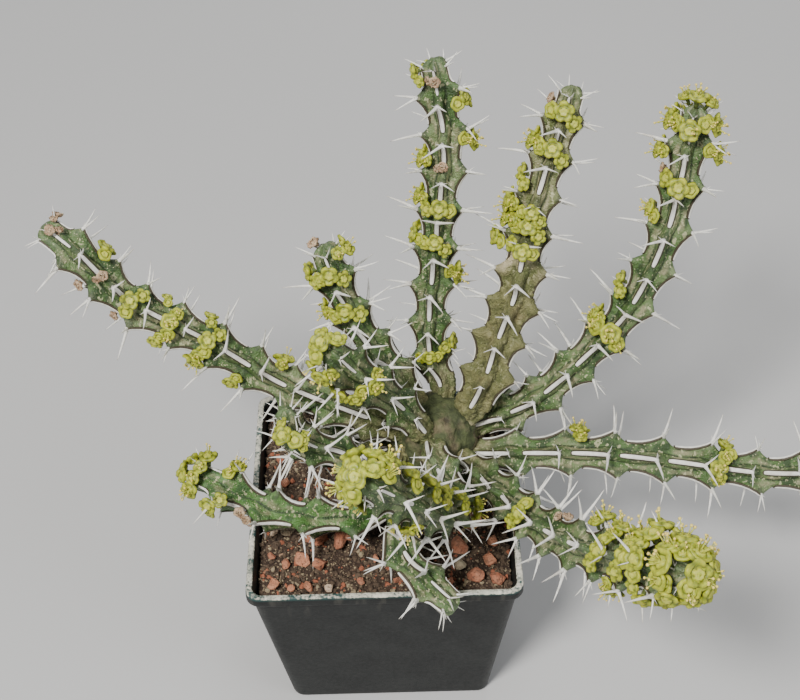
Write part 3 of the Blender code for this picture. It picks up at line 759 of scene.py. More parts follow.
def stem_length(points):
    """Length of the smooth curve through a stem's points, stepped off."""
    padded = [Vector(point) * MM for point in (points[0], *points, points[-1])]
    length, before = 0.0, padded[0]
    for a, b, c, d in zip(padded, padded[1:], padded[2:], padded[3:]):
        for step in range(1, 13):
            t = step / 12
            bend = (c - a) * t + (2 * a - 5 * b + 4 * c - d) * t * t + (3 * b - a - 3 * c + d) * t * t * t
            place = b + 0.5 * bend
            length += (place - before).length
            before = place
    return length


def stem_values(shape):
    """A stem's sizes, as the trees' inputs."""
    toothed = stem_length(shape["points"]) - NECK_LENGTH - TIP_LENGTH
    teeth = max(2, round(toothed / (shape["pitch"] * MM)))
    return {"Ribs": shape["ribs"], "Teeth": teeth, "Turn": math.radians(shape["turn"]),
            "Foot": shape["girth"][0], "Tip": shape["girth"][1], "Cork": shape["cork"],
            "Hook": 1.3 if shape["ribs"] == 4 else 1.0}


class Surface:
    """The rule of a stem's surface, added to a tree: where the skin is at a distance along a rib."""

    def __init__(self, tree, chain):
        self.tree = tree
        curve = tree.add("GeometryNodeMeshToCurve", (chain,))
        self.curve = tree.add("GeometryNodeCurveSplineType", (curve,), spline_type="CATMULL_ROM")
        self.length = tree.add("GeometryNodeCurveLength", (self.curve,))
        self.pitch = (self.length - NECK_LENGTH - TIP_LENGTH) / tree.given["Teeth"]

    def stagger(self, rib):
        """How far a rib's teeth are moved along the stem, in pitches."""
        return rib.maths("MODULO", 2.0) * 0.25 + rib.maths("COMPARE", 4.0, 0.1) * 0.125

    def tooth_at(self, rib, tooth):
        """Distance along the axis of a tooth's point."""
        return NECK_LENGTH + (tooth + FIRST_TOOTH + self.stagger(rib)) * self.pitch

    def seat(self, rib, tooth):
        """The same, with a rib's last and youngest tooth drawn back onto the tip."""
        return self.tooth_at(rib, tooth).maths("MINIMUM", self.length - TIP_SEAT)

    def girth(self, distance):
        """How stout the stem is, from its foot to its tip."""
        part = distance / self.length
        swing = 1 / (1 + (-14.0 * (part - 0.55)).maths("EXPONENT"))
        foot, tip = self.tree.given["Foot"], self.tree.given["Tip"]
        return (foot + (tip - foot) * swing) * (1 - 0.25 * part.between(0.9, 1.0, soft=False))

    def profile(self, distance, around):
        """The skin's radius, and how far it is into a furrow and up a tooth. "around" counts ribs."""
        rib = around.maths("ROUND")
        off = (around - rib).maths("ABSOLUTE") * 2
        first = self.tooth_at(rib.maths("MODULO", self.tree.given["Ribs"]), 0.0)
        steps = (distance - first) / self.pitch
        phase = steps.maths("FRACT")
        rise = ((phase - RISE_FROM) / (1 - RISE_FROM)).maths("MAXIMUM", 0.0) ** 2.6
        fall = (1 - phase / FALL_BY).maths("MAXIMUM", 0.0) ** 1.3
        last = self.tree.given["Teeth"] - 0.75
        present = steps.between(-0.75, -0.45) * (1 - 0.25 * steps.between(last - 0.1, last + 0.3))
        tooth = rise.maths("MAXIMUM", fall) * present
        ridge = (0.5 + 0.5 * (off * math.pi).maths("COSINE")) ** 0.85
        hook = (-1 * (off / HOOK_WIDTH) ** 2.0).maths("EXPONENT")
        grown = distance.between(0.0, NECK_END)
        crest = NECK_RADIUS + (CREST_RADIUS - NECK_RADIUS) * grown
        furrow = NECK_RADIUS + (FURROW_RADIUS - NECK_RADIUS) * grown
        hooked = tooth * hook * TOOTH_HEIGHT * self.tree.given["Hook"]
        radius = furrow + (crest - furrow) * ridge + hooked
        return radius * self.girth(distance), off, tooth * hook

    def dome(self, distance):
        """1 along the stem, falling to 0 over the rounded tip."""
        end = 1 - (self.length - distance) / TIP_ROUNDING
        return (1 - end.maths("MAXIMUM", 0.0) ** 2.0).maths("MAXIMUM", 0.0).maths("SQRT")

    def at(self, distance, around):
        """The axis's place, the direction along it and the direction out of it at a rib."""
        tree = self.tree
        inputs = {"Curves": self.curve, "Length": distance}
        place = tree.add("GeometryNodeSampleCurve", inputs, output="Position", mode="LENGTH",
                         use_all_curves=True)
        along = tree.output(place, "Tangent")
        turn = tree.given["Turn"] + around * (2 * math.pi) / tree.given["Ribs"]
        inputs = {"Vector": tree.output(place, "Normal"), "Axis": along, "Angle": turn}
        out = tree.add("ShaderNodeVectorRotate", inputs, rotation_type="AXIS_ANGLE")
        return place, along, out


def skin_tree(material):
    """Lays a closed skin over a stem's axis, from inside the crown to the tip."""
    tree = Growth("stem_skin", Rows=int, Columns=int, **STEM_INPUTS)
    surface = Surface(tree, tree.given["Geometry"])
    grid = tree.add("GeometryNodeMeshGrid", (1.0, 1.0, tree.given["Rows"], tree.given["Columns"]))
    across, up, _ = tree.spots()
    distance = (across + 0.5) * surface.length
    turns = (up + 0.5) * tree.given["Ribs"]
    weave = (distance / surface.pitch * (2 * math.pi)).maths("SINE") * 0.10
    between_ribs = (turns * math.pi).maths("SINE").maths("ABSOLUTE") ** 2.0
    around = turns + weave * between_ribs
    radius, furrow, tooth = surface.profile(distance, around)
    place, along, out = surface.at(distance, turns)
    bare = tree.off(place, out, radius)
    lumps = tree.add("ShaderNodeTexNoise", {"Vector": bare, "Scale": SKIN_LUMPS, "Detail": 3.0})
    fine = tree.add("ShaderNodeTexNoise", {"Vector": bare, "Scale": SKIN_GRAIN, "Detail": 2.0})
    part = distance / surface.length
    corky = (1 - (part - tree.given["Cork"]).between(-0.14, 0.05)) * part.between(0.0, 0.05)
    inputs = {"Vector": bare, "Scale": CORK_PLATES}
    plates = tree.add("ShaderNodeTexVoronoi", inputs, feature="DISTANCE_TO_EDGE")
    relief = (lumps - 0.5) * LUMP_RELIEF + (fine - 0.5) * GRAIN_RELIEF
    cork_relief = corky * (plates.between(0.0, 0.22) * 0.55 - 0.3) * MM
    full = (radius + relief + cork_relief) * surface.dome(distance) * distance.between(0.0, 0.3 * MM)
    laid = grid
    for name, value in (("furrow", furrow), ("tooth", tooth), ("part", part), ("cork", corky)):
        laid = tree.store(laid, name, value)
    tree.end(tree.move(laid, tree.off(place, out, full)), material)
    return tree


def skin_finish(name, dark, green, pale, bleached, cork_edge=0.3):
    """Waxy skin: green, bleached to cream along the ribs' flanks, painted shade in the furrows and beside
    the teeth, specked.
    """
    finish = Finish(name)
    furrow, tooth = finish.marked("furrow"), finish.marked("tooth")
    part, cork = finish.marked("part"), finish.marked("cork")
    patches = finish.clouds(9 * MM, 4.0)
    mottle = finish.clouds(2.4 * MM, 6.0)
    fine = finish.clouds(0.6 * MM, 4.0)
    living = finish.mix(patches.between(0.3, 0.9), green, pale)
    living = finish.mix(mottle.between(0.35, 0.7) * 0.75, living, dark)
    flank = furrow.between(0.30, 0.50) * (1 - furrow.between(0.66, 0.88))
    faded = flank * patches.between(0.35, 0.65) * mottle.between(0.3, 0.7) * bleached
    worn = finish.mix(faded, living, (0.40, 0.37, 0.21))
    # Painted shade: the sides of each tooth are greyed, in mottled patches.
    tooth_shaded = finish.mix(tooth.between(0.25, 0.7) * 0.55 * mottle, worn, (0.13, 0.135, 0.085))
    # Painted shade: the furrows are darkened nearly to black.
    furrow_shaded = finish.mix(furrow.between(0.80, 0.97) * (0.55 + 0.45 * fine), tooth_shaded, (0.018, 0.028, 0.010))
    dots = finish.specks(0.34 * MM, 0.34) * (1 - furrow.between(0.85, 1.0))
    flecks = finish.clouds(1.3 * MM, 3.0, stretch=(1, 1, 0.6)).between(0.66, 0.80)
    flecks = flecks * furrow.between(0.1, 0.3)
    specked = finish.mix(dots * 0.7 + flecks * 0.7, furrow_shaded, (0.52, 0.51, 0.30))
    tip = finish.mix(part.between(0.9, 1.0) * 0.35, specked, (0.14, 0.20, 0.09))
    bark = finish.mix(mottle, (0.070, 0.072, 0.022), (0.37, 0.350, 0.140))
    bark = finish.mix(patches.between(0.55, 0.85) * 0.45, bark, (0.13, 0.075, 0.03))
    corked = finish.mix(cork * (0.45 + 0.5 * bleached * patches), tip, bark)
    torn = cork.between(0.05, 0.4) * (1 - cork.between(0.55, 0.95)) * patches.between(0.35, 0.7)
    colour = finish.mix(torn * mottle * 0.7 * cork_edge, corked, (0.66, 0.56, 0.36))
    roughness = 0.40 + 0.18 * mottle + 0.28 * cork
    relief = fine * 0.7 + mottle * 0.7 + dots * 0.5 + cork * fine
    return finish.made(colour, roughness, relief, 0.38 * MM, Coat_Weight=0.06, Coat_Roughness=0.35)


grey_green = skin_finish("grey-green skin", (0.018, 0.038, 0.011), (0.070, 0.135, 0.032),
                         (0.180, 0.235, 0.100), 0.64)
old_green = skin_finish("old olive skin", (0.040, 0.052, 0.016), (0.115, 0.145, 0.040),
                        (0.235, 0.245, 0.110), 0.9, cork_edge=1.9)
fresh_green = skin_finish("fresh green skin", (0.022, 0.060, 0.014), (0.070, 0.165, 0.032),
                          (0.165, 0.285, 0.095), 0.45)
SKINS = {"back_old": (old_green, "old_skin"), "low_green": (fresh_green, "young_skin")}
skin = skin_tree(grey_green)

for name, shape in STEMS.items():
    material, slot = SKINS.get(name, (grey_green, "skin"))
    rows = round(stem_length(shape["points"]) / ROW_LENGTH)
    grid = dict(Rows=rows, Columns=shape["ribs"] * COLUMNS_PER_RIB + 1)
    laid = skin.run(axis_mesh(shape["points"]), **grid, **stem_values(shape))
    add_piece(f"skin_{name}", laid, material, slot, f"stem_{name}")

# --- Spines ------------------------------------------------------------------------------------
# Horny grey-white armour. From every tooth a narrow shield runs down the crest towards the stem's
# foot, and a pair of spines and two small prickles spread from the shield's top. Grown on the stem.

SPINE_LENGTH = 8.6 * MM
SPINE_SPREAD = math.radians(33)
PRICKLE_SPREAD = 0.85
SPINE_KEEP_OFF = 5.0 * MM
SHIELD_HALF_WIDTH = 0.78 * MM
SHIELD_SHARE = 0.78  # of the pitch
SHIELD_RISE = 0.28 * MM
SHIELD_BEND = 0.22 * MM
YOUNGER = 0.35  # how much shorter a spine, and narrower a shield, is on the tip
THORN_SIDES = 6


def thorn_shape():
    """A slightly bowed thorn one unit long, six-sided, with a swollen root."""
    bm = bmesh.new()
    rings = []
    outline = (
        (-0.06, 0.090), (0.03, 0.068), (0.14, 0.050), (0.4, 0.040), (0.7, 0.026), (0.93, 0.011),
    )
    for height, radius in outline:
        bow = 0.018 * math.sin(math.pi * max(height, 0))
        ring = []
        for i in range(THORN_SIDES):
            angle = 2 * math.pi * i / THORN_SIDES
            ring.append(bm.verts.new((math.cos(angle) * radius + bow, math.sin(angle) * radius, height)))
        rings.append(ring)
    loft(bm, rings, cap_end=False)
    tip = bm.verts.new((0, 0, 1))
    for i in range(THORN_SIDES):
        bm.faces.new((rings[-1][i], rings[-1][(i + 1) % THORN_SIDES], tip))
    tall = bm.verts.layers.float.new("height")
    for vert in bm.verts:
        vert[tall] = max(0, vert.co.z)
    return mesh_of("thorn", bm)


def shield_shape():
    """A flat closed strip: x runs down the crest from 0 to 1, y across from -1 to 1, z is its rise."""
    outline = (
        (0.0, 0.55), (0.05, 0.80), (0.15, 0.95), (0.35, 0.95), (0.55, 1.0), (0.72, 1.0),
        (0.86, 0.95), (0.94, 0.78), (0.98, 0.52), (1.0, 0.2),
    )
    half_rise = ((0.25, 1.0), (0.68, 0.85), (0.84, 0.35), (1.2, 0.0), (1.25, -1.0))
    rise = [(-y, z) for y, z in half_rise[::-1]] + list(half_rise)
    bm = bmesh.new()
    edge = bm.verts.layers.float.new("edge")
    rings = []
    for x, half in outline:
        ring = []
        for y, z in rise:
            vert = bm.verts.new((x, y * half, z))
            vert[edge] = 1.0 if abs(y) > 0.8 or x > 0.97 else 0.0
            ring.append(vert)
        rings.append(ring)
    loft(bm, rings)
    return mesh_of("shield", bm)


def shown_nowhere(name, mesh):
    """An object that only lends its shape to a tree."""
    lent = set_out(name, mesh)
    lent.hide_render = True
    return lent


def armour_tree(material):
    """Seats a shield, two spines and two prickles on every tooth of a stem."""
    lent_shapes = dict(Thorn=bpy.types.Object, Shield=bpy.types.Object, Others=bpy.types.Object)
    tree = Growth("stem_armour", Spine=float, **lent_shapes, **STEM_INPUTS)
    surface = Surface(tree, tree.given["Geometry"])
    ribs, teeth = tree.given["Ribs"], tree.given["Teeth"]
    others = tree.shape_of("Others")

    def clear(place):
        """1 where a place is off the other stems, above the soil and over or outside the pot's rim."""
        inputs = {"Target": others, "Source Position": place}
        near = tree.add("GeometryNodeProximity", inputs, output="Distance", target_element="EDGES")
        x, y, z = tree.apart(place)
        reach = x.maths("ABSOLUTE").maths("MAXIMUM", y.maths("ABSOLUTE"))
        over_soil = reach.maths("LESS_THAN", pot_width / 2 - 4 * MM)
        over_pot = reach.maths("LESS_THAN", pot_width / 2 + 1 * MM)
        floor = over_pot * (rim_z + 0.3 * MM) - over_soil * (rim_z - soil_level - 0.4 * MM)
        return near.maths("GREATER_THAN", SPINE_KEEP_OFF) * z.maths("GREATER_THAN", floor)

    def teeth_points(per_tooth):
        """So many points for every tooth, with the rib and the tooth of each and which one it is."""
        points = tree.add("GeometryNodePoints", {"Count": ribs * (teeth + 1) * per_tooth})
        index = tree.add("GeometryNodeInputIndex")
        tooth_index = (index / float(per_tooth)).maths("FLOOR")
        rib = tooth_index.maths("MODULO", ribs)
        tooth = (tooth_index / ribs).maths("FLOOR")
        which = index.maths("MODULO", float(per_tooth))
        return points, rib, tooth, which

    def thorns(spread, lean, size, shortest, longest, seed):
        """Thorns in pairs that spread sideways from each tooth, and forwards on the tip."""
        points, rib, tooth, which = teeth_points(2)
        distance = surface.seat(rib, tooth)
        place, along, out = surface.at(distance, rib)
        radius, _, _ = surface.profile(distance, rib)
        radius = radius * surface.dome(distance)
        side = tree.vector("CROSS_PRODUCT", along, out)
        sign = which * 2 - 1
        angle = sign * (spread + tree.random(-0.28, 0.26, seed)) + tree.random(-0.18, 0.18, seed + 4)
        on_tip = tooth.maths("GREATER_THAN", teeth - 0.5)
        tilt = lean + tree.random(-0.34, 0.34, seed + 1) + 0.6 * on_tip
        away = tree.off(tree.scaled(out, angle.maths("COSINE")), side, angle.maths("SINE"))
        away = tree.off(away, along, tilt)
        foot = tree.off(place, out, radius - 0.35 * MM)
        foot = tree.off(foot, side, sign * 0.32 * MM)
        turn = tree.add("FunctionNodeAlignRotationToVector", {"Vector": away}, axis="Z")
        grown = 0.6 + 0.4 * distance.between(NECK_LENGTH, 3 * NECK_LENGTH)
        scale = tree.given["Spine"] * size * grown * tree.random(shortest, longest, seed + 2)
        scale = scale * (1 - YOUNGER * on_tip)
        away = tree.vector("NORMALIZE", away)
        free = clear(tree.off(foot, away, scale)) * clear(tree.off(foot, away, scale * 0.55))
        inputs = {"Points": tree.move(points, foot), "Instance": tree.shape_of("Thorn"),
                  "Selection": free, "Rotation": turn, "Scale": scale}
        return tree.add("GeometryNodeInstanceOnPoints", inputs)

    def shields():
        """Strips bent onto the crest below each tooth."""
        points, rib, tooth, _ = teeth_points(1)
        marked = tree.store(tree.store(points, "rib", rib), "tooth", tooth)
        inputs = {"Points": marked, "Instance": tree.shape_of("Shield")}
        strips = tree.add("GeometryNodeInstanceOnPoints", inputs)
        strips = tree.add("GeometryNodeRealizeInstances", (strips,))
        own_rib, own_tooth = tree.read("rib"), tree.read("tooth")
        down, across, rise = tree.spots()
        top = surface.seat(own_rib, own_tooth)
        run = (top - surface.tooth_at(own_rib, own_tooth - 1)) * SHIELD_SHARE
        distance = top + 0.25 * MM - down * run
        radius, _, _ = surface.profile(distance, own_rib)
        place, along, out = surface.at(distance, own_rib)
        side = tree.vector("CROSS_PRODUCT", along, out)
        height = radius + rise * SHIELD_RISE + 0.10 * MM - across ** 2.0 * SHIELD_BEND
        half_width = SHIELD_HALF_WIDTH * (1 - YOUNGER * own_tooth.maths("GREATER_THAN", teeth - 0.5))
        return tree.move(strips, tree.off(tree.off(place, out, height), side, across * half_width))

    pairs = thorns(SPINE_SPREAD, lean=0.08, size=1.0, shortest=0.55, longest=1.14, seed=41)
    prickles = thorns(PRICKLE_SPREAD, lean=0.55, size=0.24, shortest=0.7, longest=1.2, seed=57)
    joined = tree.tree.nodes.new("GeometryNodeJoinGeometry")
    for part in (pairs, prickles, shields()):
        tree.tree.links.new(part.socket, joined.inputs[0])
    tree.end(Term(tree, joined.outputs[0]), material)
    return tree


def other_axes(name):
    """The axes of all stems but one, as chains of edges."""
    places, edges = [], []
    for other, shape in STEMS.items():
        if other != name:
            edges += [(len(places) + i, len(places) + i + 1) for i in range(len(shape["points"]) - 1)]
            places += [collar + Vector(point) * MM for point in shape["points"]]
    mesh = bpy.data.meshes.new("other_axes")
    mesh.from_pydata(places, edges, [])
    return mesh


def horn_finish():
    """Bleached horn: nearly white on the shields and grey on the spines, with a brown margin."""
    finish = Finish("horn")
    edge, height = finish.marked("edge"), finish.marked("height")
    streaks = finish.clouds(1.6 * MM, 6.0)
    fine = finish.clouds(0.35 * MM, 4.0)
    bleached = finish.mix(streaks, (0.66, 0.64, 0.57), (0.92, 0.91, 0.87))
    aged = finish.mix(finish.clouds(6 * MM).between(0.6, 0.9) * 0.4, bleached, (0.42, 0.37, 0.29))
    margin = finish.mix(edge.between(0.35, 0.75), aged, (0.050, 0.040, 0.020))
    colour = finish.mix(height.between(0.8, 1.0) * 0.45, margin, (0.24, 0.15, 0.09))
    return finish.made(colour, 0.46 + 0.2 * fine, fine + streaks * 0.4, 0.08 * MM)


horn = horn_finish()
armour = armour_tree(horn)
thorn = shown_nowhere("thorn_lent", thorn_shape())
shield = shown_nowhere("shield_lent", shield_shape())
for name, shape in STEMS.items():
    others = shown_nowhere("others_lent", other_axes(name))
    values = dict(Spine=SPINE_LENGTH, Thorn=thorn, Shield=shield, Others=others, **stem_values(shape))
    grown = armour.run(axis_mesh(shape["points"]), **values)
    bpy.data.objects.remove(others)
    _, slot = SKINS.get(name, (grey_green, "skin"))
    add_piece(f"armour_{name}", grown, horn, slot, f"stem_{name}")
for lent in (thorn, shield):
    bpy.data.objects.remove(lent)

# --- Flower heads ------------------------------------------------------------------------------
# Cyathia: cups of five ruffled yellow-green lobes on a short stalk, three in a row across the rib
# in the hollow above a tooth. Ripe ones hold out stamens with round anthers. Some have dried up.

GROUP_ABOVE_TOOTH = 4.1 * MM
HEAD_POINTS = 20
VARIANTS = 3  # of each kind of group

# (rib, tooth, size, kind): teeth count from the foot, and groups past the last tooth are on the tip.
RIPE, OPEN, YOUNG, DRY = range(4)
FLOWERS = {
    "left_long": [(1, 8.2, 0.8, DRY), (0, 8.3, 0.8, DRY), (0, 7, 0.8, DRY), (4, 7, 0.8, DRY),
                  (4, 6, 0.7, DRY), (1, 7, 1.0, OPEN), (0, 6, 1.05, OPEN),
                  (0, 5, 1.0, RIPE), (1, 5, 0.9, YOUNG), (4, 5, 0.95, OPEN), (0, 4, 1.05, OPEN),
                  (4, 4, 1.05, RIPE), (1, 4, 0.9, OPEN), (4, 3, 1.0, OPEN), (1, 2, 1.0, RIPE)],
    "back_left": [(4, 3.5, 0.9, DRY), (1, 3.2, 1.0, RIPE), (0, 3, 1.1, OPEN), (4, 2.9, 1.05, OPEN),
                  (0, 2, 1.15, OPEN), (4, 2, 0.9, RIPE)],
    "middle_left": [(0, 4, 1.2, OPEN), (2, 4, 1.1, OPEN), (4, 2.3, 1.15, RIPE), (4, 1.4, 1.15, OPEN),
                    (0, 1.6, 1.05, RIPE)],
    "low_left": [(1, 4, 1.15, OPEN), (0, 2.5, 0.9, YOUNG)],
    "upright": [(4, 7.2, 0.9, OPEN), (3, 7.0, 0.9, YOUNG), (0, 7.2, 0.8, DRY), (1, 6.3, 1.0, OPEN),
                (1, 5.4, 1.05, RIPE), (4, 5, 1.0, RIPE), (4, 4, 0.95, RIPE), (0, 5, 0.8, DRY),
                (4, 3, 1.0, OPEN), (0, 4, 1.1, OPEN), (0, 3, 1.0, OPEN), (1, 2, 1.1, RIPE),
                (1, 0, 1.0, OPEN), (0, 0, 0.9, OPEN)],
    "back_old": [(4, 6, 1.05, RIPE), (4, 7, 0.8, DRY), (0, 7, 1.15, OPEN), (0, 6, 1.1, OPEN),
                 (4, 5, 1.05, OPEN), (4, 4, 1.15, RIPE), (0, 4, 1.1, OPEN), (4, 3.5, 1.15, OPEN),
                 (0, 3.6, 1.05, OPEN), (3, 3.9, 1.0, RIPE), (0, 4.4, 0.95, OPEN), (4, 4.4, 1.1, RIPE)],
    "right_curved": [(0, 10, 1.25, RIPE), (0, 8.3, 1.2, RIPE), (1, 8.1, 1.1, RIPE), (4, 8.2, 1.15, RIPE),
                     (4, 7.5, 1.0, RIPE), (1, 7.5, 1.1, RIPE), (3, 8.1, 1.0, RIPE), (4, 7, 0.8, DRY),
                     (0, 7, 1.2, OPEN), (4, 6, 1.05, RIPE), (4, 4, 1.05, OPEN), (4, 3, 1.0, RIPE),
                     (0, 3, 1.25, RIPE)],
    "right_long": [(4, 1, 1.1, RIPE), (4, 4, 1.05, RIPE), (0, 4, 1.15, RIPE)],
    "front_right": [(0, 2, 1.1, OPEN), (4, 3, 0.8, DRY), (4, 4.6, 1.1, RIPE), (4, 5.3, 1.2, RIPE),
                    (0, 5.4, 1.1, OPEN), (4, 6, 1.25, RIPE), (0, 6.2, 1.2, OPEN), (3, 6, 1.1, RIPE),
                    (4, 6.6, 1.3, RIPE), (0, 6.8, 1.25, OPEN), (3, 6.7, 1.2, RIPE), (1, 5.4, 0.9, RIPE),
                    (1, 6.4, 1.05, OPEN), (0, 7.4, 1.35, RIPE), (1, 7.1, 1.15, OPEN), (2, 7.3, 1.1, OPEN),
                    (3, 7.15, 1.3, RIPE), (4, 7.3, 1.4, RIPE), (0, 9, 1.4, OPEN), (2, 6.5, 1.0, OPEN),
                    (2, 7.6, 1.15, OPEN), (3, 7.35, 1.25, OPEN), (4, 7.45, 1.2, RIPE), (2, 9, 1.2, RIPE)],
    "front_raised": [(0, 8, 1.3, OPEN), (2, 8, 1.25, OPEN), (2, 6.4, 1.3, OPEN), (3, 6.15, 1.25, RIPE),
                     (1, 6.15, 1.3, RIPE), (3, 5.3, 1.1, RIPE), (1, 5, 1.15, OPEN), (1, 4, 1.15, OPEN),
                     (1, 3, 1.0, OPEN), (1, 2, 1.1, OPEN), (0, 1, 1.1, RIPE), (4, 4, 1.0, RIPE)],
    "low_green": [(0, 6, 1.1, OPEN), (0, 4.4, 1.1, RIPE), (3, 4.2, 1.1, RIPE), (0, 3.8, 1.0, RIPE),
                  (3, 3.6, 1.05, OPEN), (1, 4.2, 1.0, OPEN), (3, 3, 0.9, DRY), (3, 2.8, 0.8, DRY)],
}

# The first tone marks painted shade: under the lobes, deep in the cup and between the lobes.
SHADE_TONE, LOBE, CENTRE, STALK, ANTHER = 0.0, 1.0, 2.0, 3.0, 4.0


def add_head(bm, tone, place, lean, size, stamens, rng):
    """One cyathium: a stalk, a cup of five ruffled lobes around a raised centre, and any stamens."""
    turn = Matrix.Translation(place) @ Matrix.Rotation(lean, 4, "Y") @ Matrix.Scale(size * MM, 4)
    twist = rng.uniform(0, 2 * math.pi)
    # Outline from the stalk's foot, out under the lobes, over them and in to the raised centre.
    outline = (
        (0.45, -1.4, STALK), (0.6, 0.1, STALK), (1.5, 0.7, SHADE_TONE), (2.35, 1.15, LOBE),
        (2.62, 1.6, LOBE), (2.25, 2.05, LOBE), (1.7, 1.95, LOBE), (1.35, 1.55, SHADE_TONE),
        (1.15, 2.0, LOBE), (0.75, 2.25, CENTRE), (0.3, 1.85, CENTRE),
    )
    rings = []
    for reach, height, part in outline:
        ring = []
        for i in range(HEAD_POINTS):
            angle = 2 * math.pi * i / HEAD_POINTS
            petal = abs(math.cos(2.5 * (angle + twist))) ** 0.45
            lobe = 1.0 if reach < 1.0 else 0.74 + 0.30 * petal
            ruffle = 0.0 if reach < 1.0 else rng.uniform(-0.20, 0.20)
            rise = 0.35 * (petal - 0.6) if reach > 1.6 else 0.0
            x, y = math.cos(angle) * reach * lobe, math.sin(angle) * reach * lobe
            vert = bm.verts.new(turn @ Vector((x, y, height + ruffle + rise)))
            # Between the lobes the rim takes the painted-shade tone.
            vert[tone] = part if petal > 0.55 or part != LOBE else SHADE_TONE
            ring.append(vert)
        rings.append(ring)
    loft(bm, rings)
    for _ in range(stamens):
        add_stamen(bm, tone, turn, rng)


def add_stamen(bm, tone, turn, rng):
    """A thin stalk out of the cup with a round anther on its end."""
    angle = rng.uniform(0, 2 * math.pi)
    splay = rng.uniform(0.1, 0.65)
    foot = Vector((math.cos(angle) * 0.4, math.sin(angle) * 0.4, 1.8))
    away = Vector((math.cos(angle) * splay, math.sin(angle) * splay, 1)).normalized()
    head = foot + away * rng.uniform(1.9, 3.0)
    aim = away.to_track_quat("Z", "Y").to_matrix()
    rings = []
    for place, radius in ((foot, 0.16), (head, 0.12)):
        ring = []
        for quarter in range(4):
            a = quarter * math.pi / 2
            across = Vector((math.cos(a) * radius, math.sin(a) * radius, 0))
            ring.append(bm.verts.new(turn @ (place + aim @ across)))
            ring[-1][tone] = CENTRE
        rings.append(ring)
    loft(bm, rings)
    seat = turn @ Matrix.Translation(head)
    knob = bmesh.ops.create_icosphere(bm, subdivisions=1, radius=0.34, matrix=seat)
    for vert in knob["verts"]:
        vert[tone] = ANTHER


def cyme_shape(name, kind, seed):
    """Three heads in a row along x: the middle one faces out and the outer two lean away from it."""
    rng = random.Random(seed)
    bm = bmesh.new()
    tone = bm.verts.layers.float.new("tone")
    dry = bm.verts.layers.float.new("dry")
    size = {RIPE: 1.0, OPEN: 1.0, YOUNG: 0.7, DRY: 0.75}[kind]
    for side in (-1, 0, 1):
        if kind == DRY and side == rng.choice((-1, 1)):
            continue
        place = Vector((side * 2.25 * size, rng.uniform(-1.2, 1.2), 1.0 - abs(side) * 0.8)) * MM
        lean = side * rng.uniform(0.5, 0.9) + rng.uniform(-0.15, 0.15)
        own = size * (1.0 if side == 0 else rng.uniform(0.72, 0.92))
        stamens = rng.randint(3, 6) if kind == RIPE and (side == 0 or rng.random() < 0.5) else 0
        add_head(bm, tone, place, lean, own, stamens, rng)
    for vert in bm.verts:
        vert[dry] = 1.0 if kind == DRY else 0.0
        if kind == DRY:
            vert.co += Vector([rng.uniform(-0.35, 0.35) for _ in range(3)]) * MM
    return mesh_of(name, bm)


def flower_tree(kept, material):
    """Seats groups of flower heads. Each point of the mesh it runs on holds (rib, tooth, size)."""
    tree = Growth("flower_groups", Axis=bpy.types.Object, **STEM_INPUTS)
    surface = Surface(tree, tree.shape_of("Axis"))
    rib, tooth, size = tree.spots()
    distance = surface.tooth_at(rib, tooth) + GROUP_ABOVE_TOOTH
    distance = distance.maths("MINIMUM", surface.length - 0.05 * MM)
    radius, _, _ = surface.profile(distance, rib)
    place, along, out = surface.at(distance, rib)
    rounded = surface.dome(distance)
    side = tree.vector("CROSS_PRODUCT", along, out)
    tipwards = (1 - rounded * rounded).maths("SQRT") + tree.random(-0.05, 0.30, 5)
    away = tree.off(tree.scaled(out, rounded + 0.02), along, tipwards)
    foot = tree.off(place, out, radius * rounded)
    foot = tree.off(foot, tree.vector("NORMALIZE", away), 0.35 * MM)
    axes = dict(primary_axis="Z", secondary_axis="X")
    facing = tree.add("FunctionNodeAxesToRotation", {0: away, 1: side}, **axes)
    inputs = {4: 0, 5: VARIANTS - 1, "Seed": 8}
    variant = tree.add("FunctionNodeRandomValue", inputs, output=2, data_type="INT")
    # The place of each point holds its rib, tooth and size, so what follows from them is kept first.
    points = tree.add("GeometryNodeMeshToPoints", {"Mesh": tree.given["Geometry"]})
    points = tree.store(points, "facing", facing, "QUATERNION")
    points = tree.store(points, "size", size)
    points = tree.store(points, "pick", tree.read("kind") * VARIANTS + variant)
    inputs = {"Points": tree.move(points, foot), "Instance": tree.patterns(kept),
              "Pick Instance": True, "Instance Index": tree.read("pick"),
              "Rotation": tree.read("facing", "QUATERNION"), "Scale": tree.read("size")}
    tree.end(tree.add("GeometryNodeInstanceOnPoints", inputs), material)
    return tree


def flower_points(groups):
    """A mesh with one point per group, which holds its rib, tooth and size as its place."""
    mesh = bpy.data.meshes.new("groups")
    mesh.from_pydata([(rib, tooth, size) for rib, tooth, size, _ in groups], [], [])
    kinds = mesh.attributes.new("kind", "FLOAT", "POINT")
    for item, (_, _, _, kind) in zip(kinds.data, groups):
        item.value = kind
    return mesh


